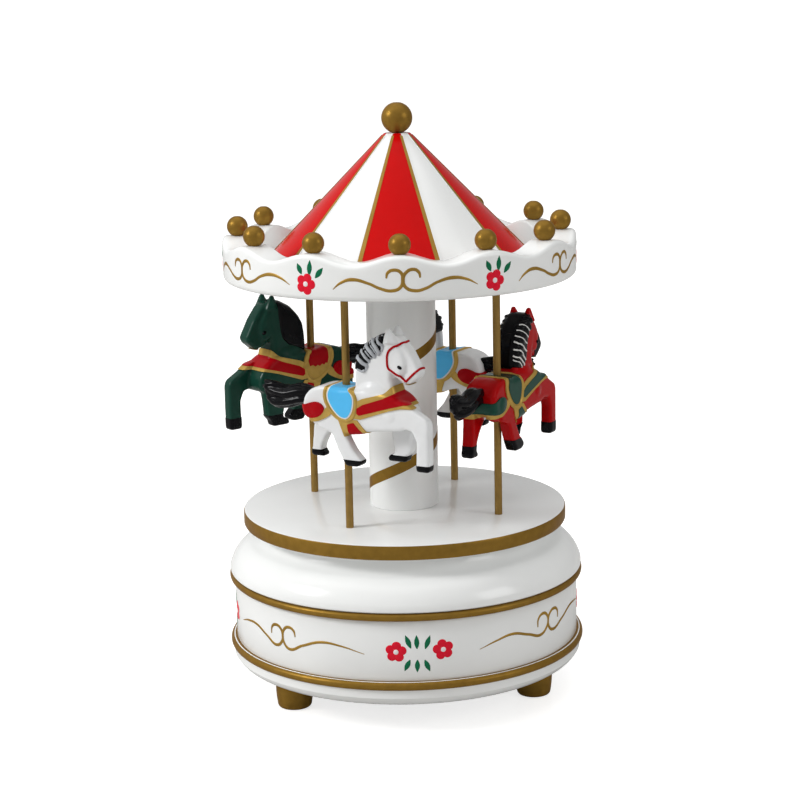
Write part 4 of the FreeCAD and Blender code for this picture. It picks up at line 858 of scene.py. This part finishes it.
SILVER_LOCKS = (
    (
        0.62,
        [
            [(9.0, 35.7), (10.9, 33.9), (11.9, 32.2)], [(10.9, 37.0), (12.4, 35.4), (12.9, 33.2)],
            [(6.6, 32.0), (8.4, 30.3), (9.7, 28.4)],
        ],
    ),
    (
        0.46,
        [
            [(7.4, 34.1), (9.3, 32.0), (10.5, 30.0)], [(12.4, 38.0), (13.5, 36.4), (14.3, 34.4)],
            [(5.6, 30.3), (7.2, 29.2), (8.4, 28.4)],
        ],
    ),
    (
        0.24,
        [
            [(13.6, 38.7), (14.3, 37.4), (14.7, 35.9)], [(8.2, 35.0), (10.0, 33.0), (11.2, 31.0)],
            [(9.9, 36.5), (11.6, 34.8), (12.3, 32.8)],
        ],
    ),
)
WHITE_LOCKS = (
    (
        0.27,
        [
            [(5.6, 30.6), (8.0, 28.7), (10.2, 26.6)], [(5.2, 28.8), (7.6, 27.0), (9.6, 25.2)],
            [(5.8, 32.6), (8.2, 30.8), (10.8, 29.0)],
        ],
    ),
    (
        0.2,
        [
            [(6.4, 34.2), (8.8, 32.6), (11.2, 31.2)], [(7.6, 35.7), (9.8, 34.2), (12.0, 33.0)],
            [(9.2, 37.0), (11.2, 35.8), (13.0, 34.8)], [(5.2, 27.4), (7.2, 25.8), (8.8, 24.4)],
        ],
    ),
)
SHORT_SADDLE = [(-1.6, 25), (-2.3, 22.8), (-2.5, 20.4), (-2.0, 18.7), (-1.4, 19.0), (-0.8, 18.4), (0.0, 18.8),
    (0.8, 18.2), (1.6, 18.7), (2.4, 18.2), (3.2, 18.8), (4.4, 18.6), (4.9, 20.2), (4.3, 22), (2.9, 23.2), (2.4, 25)]
LOCK_ROOTS = [(4.6, 29.0), (5.0, 31.0), (5.8, 32.9), (7.1, 34.7), (8.8, 36.3), (10.7, 37.6), (12.5, 38.6)]
LOCK_TIPS = [(8.5, 28.0), (9.2, 29.6), (10.2, 31.0), (11.6, 32.2), (13.0, 33.1), (14.2, 34.4), (14.9, 36.2)]
CHEEK_STRAP = [(19.8, 0.8, 37.1), (18.7, 2.4, 36.5), (16.9, 3.5, 35.5), (15.8, 3.7, 34.2), (15.5, 3.7, 31.8),
    (15.8, 3.7, 29.9), (17.5, 3.7, 28.5), (19.2, 3.4, 27.4), (20.6, 2.6, 26.2)]
NOSE_STRAP = [(20.6, 2.6, 26.2), (21.9, 2.6, 27.5), (23.2, 2.4, 28.7), (24.5, 1.2, 29.9)]
BRIDLE = [
    [(x, -y, z) for x, y, z in CHEEK_STRAP[::-1]] + CHEEK_STRAP,
    [(x, -y, z) for x, y, z in NOSE_STRAP] + NOSE_STRAP[::-1],
]
RIM_CORD = [(-3.3, 24.2), (-3.9, 22.6), (-4.0, 20.3), (-2.5, 17.1), (-0.3, 15.1), (1.8, 14.3), (3.4, 14.3), (4.7, 15.1),
    (5.75, 17.2), (5.9, 20.2), (5.0, 22.2), (3.6, 23.4)]


def offset(outline, grow):
    """An outline moved outwards by grow, in mm."""
    area = sum(x0 * z1 - x1 * z0 for (x0, z0), (x1, z1) in zip(outline, outline[1:] + outline[:1]))
    sign = 1 if area > 0 else -1
    moved = []
    for before, here, after in zip(outline[-1:] + outline[:-1], outline, outline[1:] + outline[:1]):
        a = Vector((here[0] - before[0], here[1] - before[1])).normalized()
        b = Vector((after[0] - here[0], after[1] - here[1])).normalized()
        normal = Vector((a.y + b.y, -a.x - b.x)) * sign
        normal.normalize()
        moved.append((here[0] + normal.x * grow, here[1] + normal.y * grow))
    return moved


def eased(outline):
    """An outline with its corners cut twice, so that it runs round."""
    for _ in range(2):
        outline = [
            (a[0] + (b[0] - a[0]) * t, a[1] + (b[1] - a[1]) * t)
            for a, b in zip(outline, outline[1:] + outline[:1]) for t in (0.25, 0.75)
        ]
    return outline


def hoof_outlines(height, side):
    return [
        [(x0, -1), (x1, -1), (x1, sole + height), (x0, sole + height)]
        for s, x0, x1, sole in HOOF_BOXES if s == side
    ]


def hooves(body, height):
    return join("hooves", [patch("hooves", body, 0.00012, hoof_outlines(height, side), side) for side in (-1, 1)])


def lock(root, tip, side, half_width, flat):
    """One lock of hair that lies on the mane, from the crest down to its tip."""
    (x0, z0), (x1, z1) = root, tip
    points = []
    for along, across, share in (
        (0.0, 0.12, 0.7), (0.02, 0.5, 0.9), (0.16, 0.86, 1.0), (0.45, 1.0, 1.0), (0.75, 1.0, 0.8), (1.03, 0.97, 0.12),
    ):
        sag = 0.9 * 4 * along * (1 - along)
        points.append(
            (x0 + (x1 - x0) * along + 0.35 * sag, side * flat * across, z0 + (z1 - z0) * along + 0.4 * sag, share)
        )
    return stroke("part", points, half_width * MM, rings=6)


def mane(name, outline, half, ridge):
    """A cap of hair over the crest; ridge is the half width of the locks on it, or 0 for none."""
    parts = [
        slab("part", offset(outline, -inset), half * share, 0, 0.6)
        for inset, share in ((0.0, 0.62), (0.5, 0.86), (1.1, 1.0))
    ]
    for i, (root, tip) in enumerate(zip(LOCK_ROOTS, LOCK_TIPS) if ridge else ()):
        tip = (tip[0] + 0.3 * (i % 2), tip[1] - 0.3 * (i % 2))
        for side in (-1, 1):
            parts.append(lock(root, tip, side, ridge, half))
    return remoulded(name, parts, HAIR_VOXEL, 4)


def streaks(name, hair, bundles):
    """Light strokes on both sides of a mane: bundles of (half width, strokes) in the side view, in mm."""
    marks = []
    for half_width, strokes in bundles:
        paths = [
            [(x, side * (2.6 + 0.5 * i), z) for i, (x, z) in enumerate(line)]
            for line in strokes
            for side in (-1, 1)
        ]
        marks.append(painted_line(name, hair, paths, half_width * MM))
    return join(name, marks)


def tail():
    """Thick strands that stream back and part at the end."""
    parts = [slab("part", TAIL, 1.2, 0, 0.5)]
    strands = (
        [(-9.5, 0.5, 20.4, 0.8), (-15, 0.8, 21.3, 1.1), (-20, 0.5, 20.4, 1.15), (-24.2, 0.2, 21.4, 1.0),
            (-27.6, 0, 22.4, 0.35)],
        [(-9.5, -0.6, 19.9, 0.8), (-15, -1.0, 20.2, 1.1), (-20.5, -1.2, 19.2, 1.15), (-25, -0.8, 19.9, 0.95),
            (-28.0, -0.3, 20.9, 0.35)],
        [(-9.5, 0.4, 18.6, 0.8), (-15, 1.2, 18.9, 1.1), (-20.5, 1.4, 17.9, 1.15), (-24.8, 1.0, 18.2, 1.0),
            (-27.4, 0.4, 19.3, 0.35)],
        [(-9.8, -0.6, 18.2, 0.8), (-15, -1.2, 18.0, 1.0), (-20, -1.3, 16.9, 1.1), (-24, -0.9, 16.6, 1.0),
            (-26.9, -0.3, 17.7, 0.35)],
        [(-10.0, 0.2, 17.4, 0.7), (-15, 0.4, 17.2, 0.9), (-19.8, 0.4, 15.9, 1.0), (-23.4, 0.1, 15.6, 0.85),
            (-26.0, 0, 16.4, 0.3)],
    )
    for points in strands:
        parts.append(stroke("part", points, 1.1 * MM, rings=8, sides=4))
    return remoulded("tail", parts, HAIR_VOXEL, 2)


def painted_line(name, body, paths, half_width):
    """Thin lines that lie on the body as one piece, each through (ahead, across, height) points in mm."""
    lines = []
    for path in paths:
        line = stroke(name, [(x, y, z, 1) for x, y, z in path], 0.00001, rings=6, sides=0)
        open_up(line)
        bpy.ops.mesh.remove_doubles(threshold=0.00005)
        object_mode()
        apply_modifier(line, "SHRINKWRAP", target=body, wrap_method="NEAREST_SURFACEPOINT", offset=0.00002)
        open_up(line)
        bpy.ops.mesh.delete(type="ONLY_FACE")
        object_mode()
        bpy.ops.object.convert(target="CURVE")
        line = bpy.context.object
        line.data.bevel_depth = half_width
        line.data.bevel_resolution = 2
        bpy.ops.object.convert(target="MESH")
        lines.append(take(name))
    return join(name, lines)


def eyes():
    return join("eyes", [lump(19.3, side * 3.3, 30.3, 0.75, 0.55, 0.5, 0.5) for side in (-1, 1)])


def make_horses():
    body = horse_body()
    black = own_paint("hair_black", 0.14, 0.1)
    gold = gilding("harness_gold", colours().harness_gold, 0.36, 0.25, 500, 3000, 0.12)
    stand = sizes().harness_stand
    masters = dict(
        body=body,
        harness=patch("harness", body, stand, [eased(SADDLE_RIM), BAND_GOLD, eased(HIP_GOLD), GIRTH_GOLD]),
        rim_cord=painted_line(
            "rim_cord", body, [[(x, side * 5.6, z) for x, z in RIM_CORD] for side in (-1, 1)], 0.00058,
        ),
        saddle_line=patch("saddle_line", body, stand * 1.25, [offset(eased(SADDLE), 0.4)]),
        saddle=patch("saddle", body, stand * 1.6, [eased(SADDLE)]),
        short_saddle=patch("short_saddle", body, stand * 1.6, [SHORT_SADDLE]),
        bands=patch("bands", body, stand * 1.4, [BAND, eased(HIP), GIRTH]),
        muzzle=patch("muzzle", body, 0.0001, [MUZZLE]),
        low_hooves=hooves(body, 1.8),
        high_hooves=hooves(body, 3.4),
        narrow_mane=mane("narrow_mane", NARROW_MANE, 4.1, 0),
        wide_mane=mane("wide_mane", WIDE_MANE, 4.1, 0.5),
        full_mane=mane("full_mane", FULL_MANE, 4.1, 0),
        bridle=painted_line("bridle", body, BRIDLE, 0.00034),
        tail=tail(),
        eyes=eyes(),
    )
    masters["silver_streaks"] = streaks("silver_streaks", masters["narrow_mane"], SILVER_LOCKS)
    masters["white_streaks"] = streaks("white_streaks", masters["wide_mane"], WHITE_LOCKS)
    white = own_paint("coat_white", 0.2)
    red = own_paint("coat_red", 0.18, 0.08)
    green = own_paint("coat_green", 0.2)
    silver = own_paint("hair_silver", 0.2)
    harness_red = own_paint("harness_red", 0.22, 0.08)
    harness_green = own_paint("harness_green", 0.22)
    blue = own_paint("saddle_blue", 0.22, 0.08)
    liner = gloss_paint("saddle_line", (0.8, 0.8, 0.78), 0.25)
    white_coat = dict(
        body=white, saddle=blue, saddle_line=liner, bands=harness_red, low_hooves=black, narrow_mane=black,
        silver_streaks=silver, bridle=harness_red,
    )
    looks = {
        "horse_white_front": ("pole_1", "horse_white", white_coat),
        "horse_red": (
            "pole_2", "horse_red",
            dict(
                body=red, saddle=harness_green, bands=harness_green, high_hooves=black, wide_mane=black,
                white_streaks=liner, muzzle=black,
            ),
        ),
        "horse_white_back": ("pole_3", "horse_white", white_coat),
        "horse_green": (
            "pole_4", "horse_green",
            dict(body=green, short_saddle=harness_red, bands=harness_red, high_hooves=black, full_mane=black),
        ),
    }
    for node, (pole, slot, coat) in looks.items():
        coat = {**coat, "harness": gold, "rim_cord": gold, "tail": black, "eyes": black}
        low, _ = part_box(node)
        pole_low, pole_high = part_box(pole)
        x, y = (pole_low.x + pole_high.x) / 2, (pole_low.y + pole_high.y) / 2
        heading = math.atan2(x, -y) + (math.radians(GREEN_SWING) if node == "horse_green" else 0)
        matrix = Matrix.Translation((x, y, low.z - HOOF_CLEARANCE * MM)) @ Matrix.Rotation(heading, 4, "Z")
        for part, material in coat.items():
            piece = copy_of(masters[part], f"{node}_{part}")
            set_in_place(piece, matrix)
            settle(piece, material, "carousel", slot, node)
    throw_away(*masters.values())


# ---- packed parts that keep their shape

def dress_packed_parts():
    looks = {
        "pole_brass": pole_bronze(),
        "steel": metal("bright_steel", (0.55, 0.55, 0.56), 0.26),
        "spring_steel": metal("spring_steel", (0.36, 0.38, 0.42), 0.22, 0.05, 4000),
        "cast_zinc": metal("cast_zinc", (0.42, 0.42, 0.43), 0.5, 0.3, 1500),
        "movement_brass": metal("movement_brass", (0.72, 0.50, 0.18), 0.24),
        "bush_plastic": plastic("bush_plastic", (0.82, 0.80, 0.74)),
        "white_lacquer": lacquer(),
        "gold_paint": gold_paint(),
    }
    for part in frame["record"]["subparts"]:
        material = looks.get(part["material_slot"])
        if material:
            for place in frame["nodes"][part["node"]].material_slots:
                place.material = material


# ---- studio

def make_stage():
    scene = bpy.context.scene
    nothing_selected()
    bpy.ops.mesh.primitive_plane_add(size=40)
    floor = take("studio_floor")
    material = bpy.data.materials.new("studio_floor")
    material.use_nodes = True
    nodes, links = material.node_tree.nodes, material.node_tree.links
    shader = nodes["Principled BSDF"]
    fill(shader, Base_Color=(0.6, 0.59, 0.575, 1), Roughness=0.3, Specular_IOR_Level=0.3, Emission_Color=(1, 1, 1, 1))
    glow = nodes.new("ShaderNodeLightPath")
    level = add(nodes, "MapRange", To_Min=0.0, To_Max=FLOOR_GLOW)
    links.new(glow.outputs["Is Camera Ray"], level.inputs["Value"])
    links.new(level.outputs["Result"], shader.inputs["Emission Strength"])
    wear(floor, material)
    world = bpy.data.worlds.new("studio")
    scene.world = world
    world.use_nodes = True
    nodes, links = world.node_tree.nodes, world.node_tree.links
    place = add(nodes, "TexCoord")
    side = nodes.new("ShaderNodeVectorMath")
    side.operation = "DOT_PRODUCT"
    side.inputs[1].default_value = SKY_SIDE
    links.new(place.outputs["Generated"], side.inputs[0])
    fade = add(nodes, "MapRange", From_Min=-1.0, To_Min=SKY_DARK, To_Max=SKY_LIGHT)
    links.new(side.outputs["Value"], fade.inputs["Value"])
    links.new(fade.outputs["Result"], nodes["Background"].inputs["Strength"])
    fill(nodes["Background"], Color=(1, 1, 1, 1))
    for name, place, aim, across, energy in LIGHTS:
        bpy.ops.object.light_add(type="AREA", location=place)
        lamp = bpy.context.object
        lamp.name = name
        lamp.data.size = across
        lamp.data.energy = energy
        lamp.rotation_euler = (Vector(aim) - Vector(place)).to_track_quat("-Z", "Y").to_euler()
    camera = bpy.data.cameras.new("camera")
    camera.sensor_width = 36
    camera.lens = CAMERA_LENS
    holder = bpy.data.objects.new("camera", camera)
    scene.collection.objects.link(holder)
    pitch = Matrix.Rotation(math.radians(CAMERA_PITCH), 4, "X")
    roll = Matrix.Rotation(math.radians(CAMERA_ROLL), 4, "Z")
    holder.matrix_world = Matrix.Translation(CAMERA_PLACE) @ pitch @ roll
    scene.camera = holder
    scene.view_settings.view_transform = "Standard"
    scene.view_settings.exposure = 0.0


# ---- operators and panel

def operator(idname, doc, *steps):
    """A build step as an operator that runs the given functions in turn."""
    def execute(self, context):
        for step in steps:
            step()
        return {"FINISHED"}
    label = idname.replace("_", " ").capitalize()
    body = {"__doc__": doc, "bl_idname": "musicbox." + idname, "bl_label": label}
    body.update(bl_options={"REGISTER", "UNDO"}, execute=execute)
    return type("MUSICBOX_OT_" + idname, (bpy.types.Operator,), body)


STEPS = [
    operator("studio", "Adds the floor, the lights and the camera", make_stage),
    operator("base", "Turns the drum and its cap with the gold beads", make_base, make_beads),
    operator("turntable", "Turns the disc that the poles stand on", make_turntable),
    operator("column", "Turns the middle post and winds its gold band", make_column),
    operator("crown", "Turns the canopy board and its wavy ring", make_crown),
    operator("roof", "Turns the cone and lays its panels and stripes", make_roof),
    operator("balls", "Adds the gold balls on the rim and the roof", make_balls),
    operator("feet", "Adds the three gold feet", make_feet),
    operator("drum_painting", "Paints flowers, leaves and swirls on the drum", paint_drum),
    operator("crown_painting", "Paints flowers, leaves and swirls on the crown", paint_crown),
    operator("horses", "Moulds, paints and places the four horses", make_horses),
    operator("packed_parts", "Gives the poles and the movement their metals", dress_packed_parts),
]


class MUSICBOX_PT_panel(bpy.types.Panel):
    """Sizes, colours and build steps of the music box"""
    bl_idname = "MUSICBOX_PT_panel"
    bl_label = "Music Box"
    bl_space_type = "VIEW_3D"
    bl_region_type = "UI"
    bl_category = "Music Box"

    def draw(self, context):
        for group in (context.scene.music_box_sizes, context.scene.music_box_colours):
            box = self.layout.box()
            for key in group.__annotations__:
                box.prop(group, key)
        for step in STEPS:
            self.layout.operator(step.bl_idname)


CLASSES = [MusicBoxSizes, FinishColours, *STEPS, MUSICBOX_PT_panel]


def register():
    for item in CLASSES:
        bpy.utils.register_class(item)
    bpy.types.Scene.music_box_sizes = bpy.props.PointerProperty(type=MusicBoxSizes)
    bpy.types.Scene.music_box_colours = bpy.props.PointerProperty(type=FinishColours)


def unregister():
    del bpy.types.Scene.music_box_sizes
    del bpy.types.Scene.music_box_colours
    for item in reversed(CLASSES):
        bpy.utils.unregister_class(item)


def main():
    register()
    for step in STEPS:
        getattr(bpy.ops.musicbox, step.bl_idname.split(".")[1])()


if __name__ == "__main__":
    main()
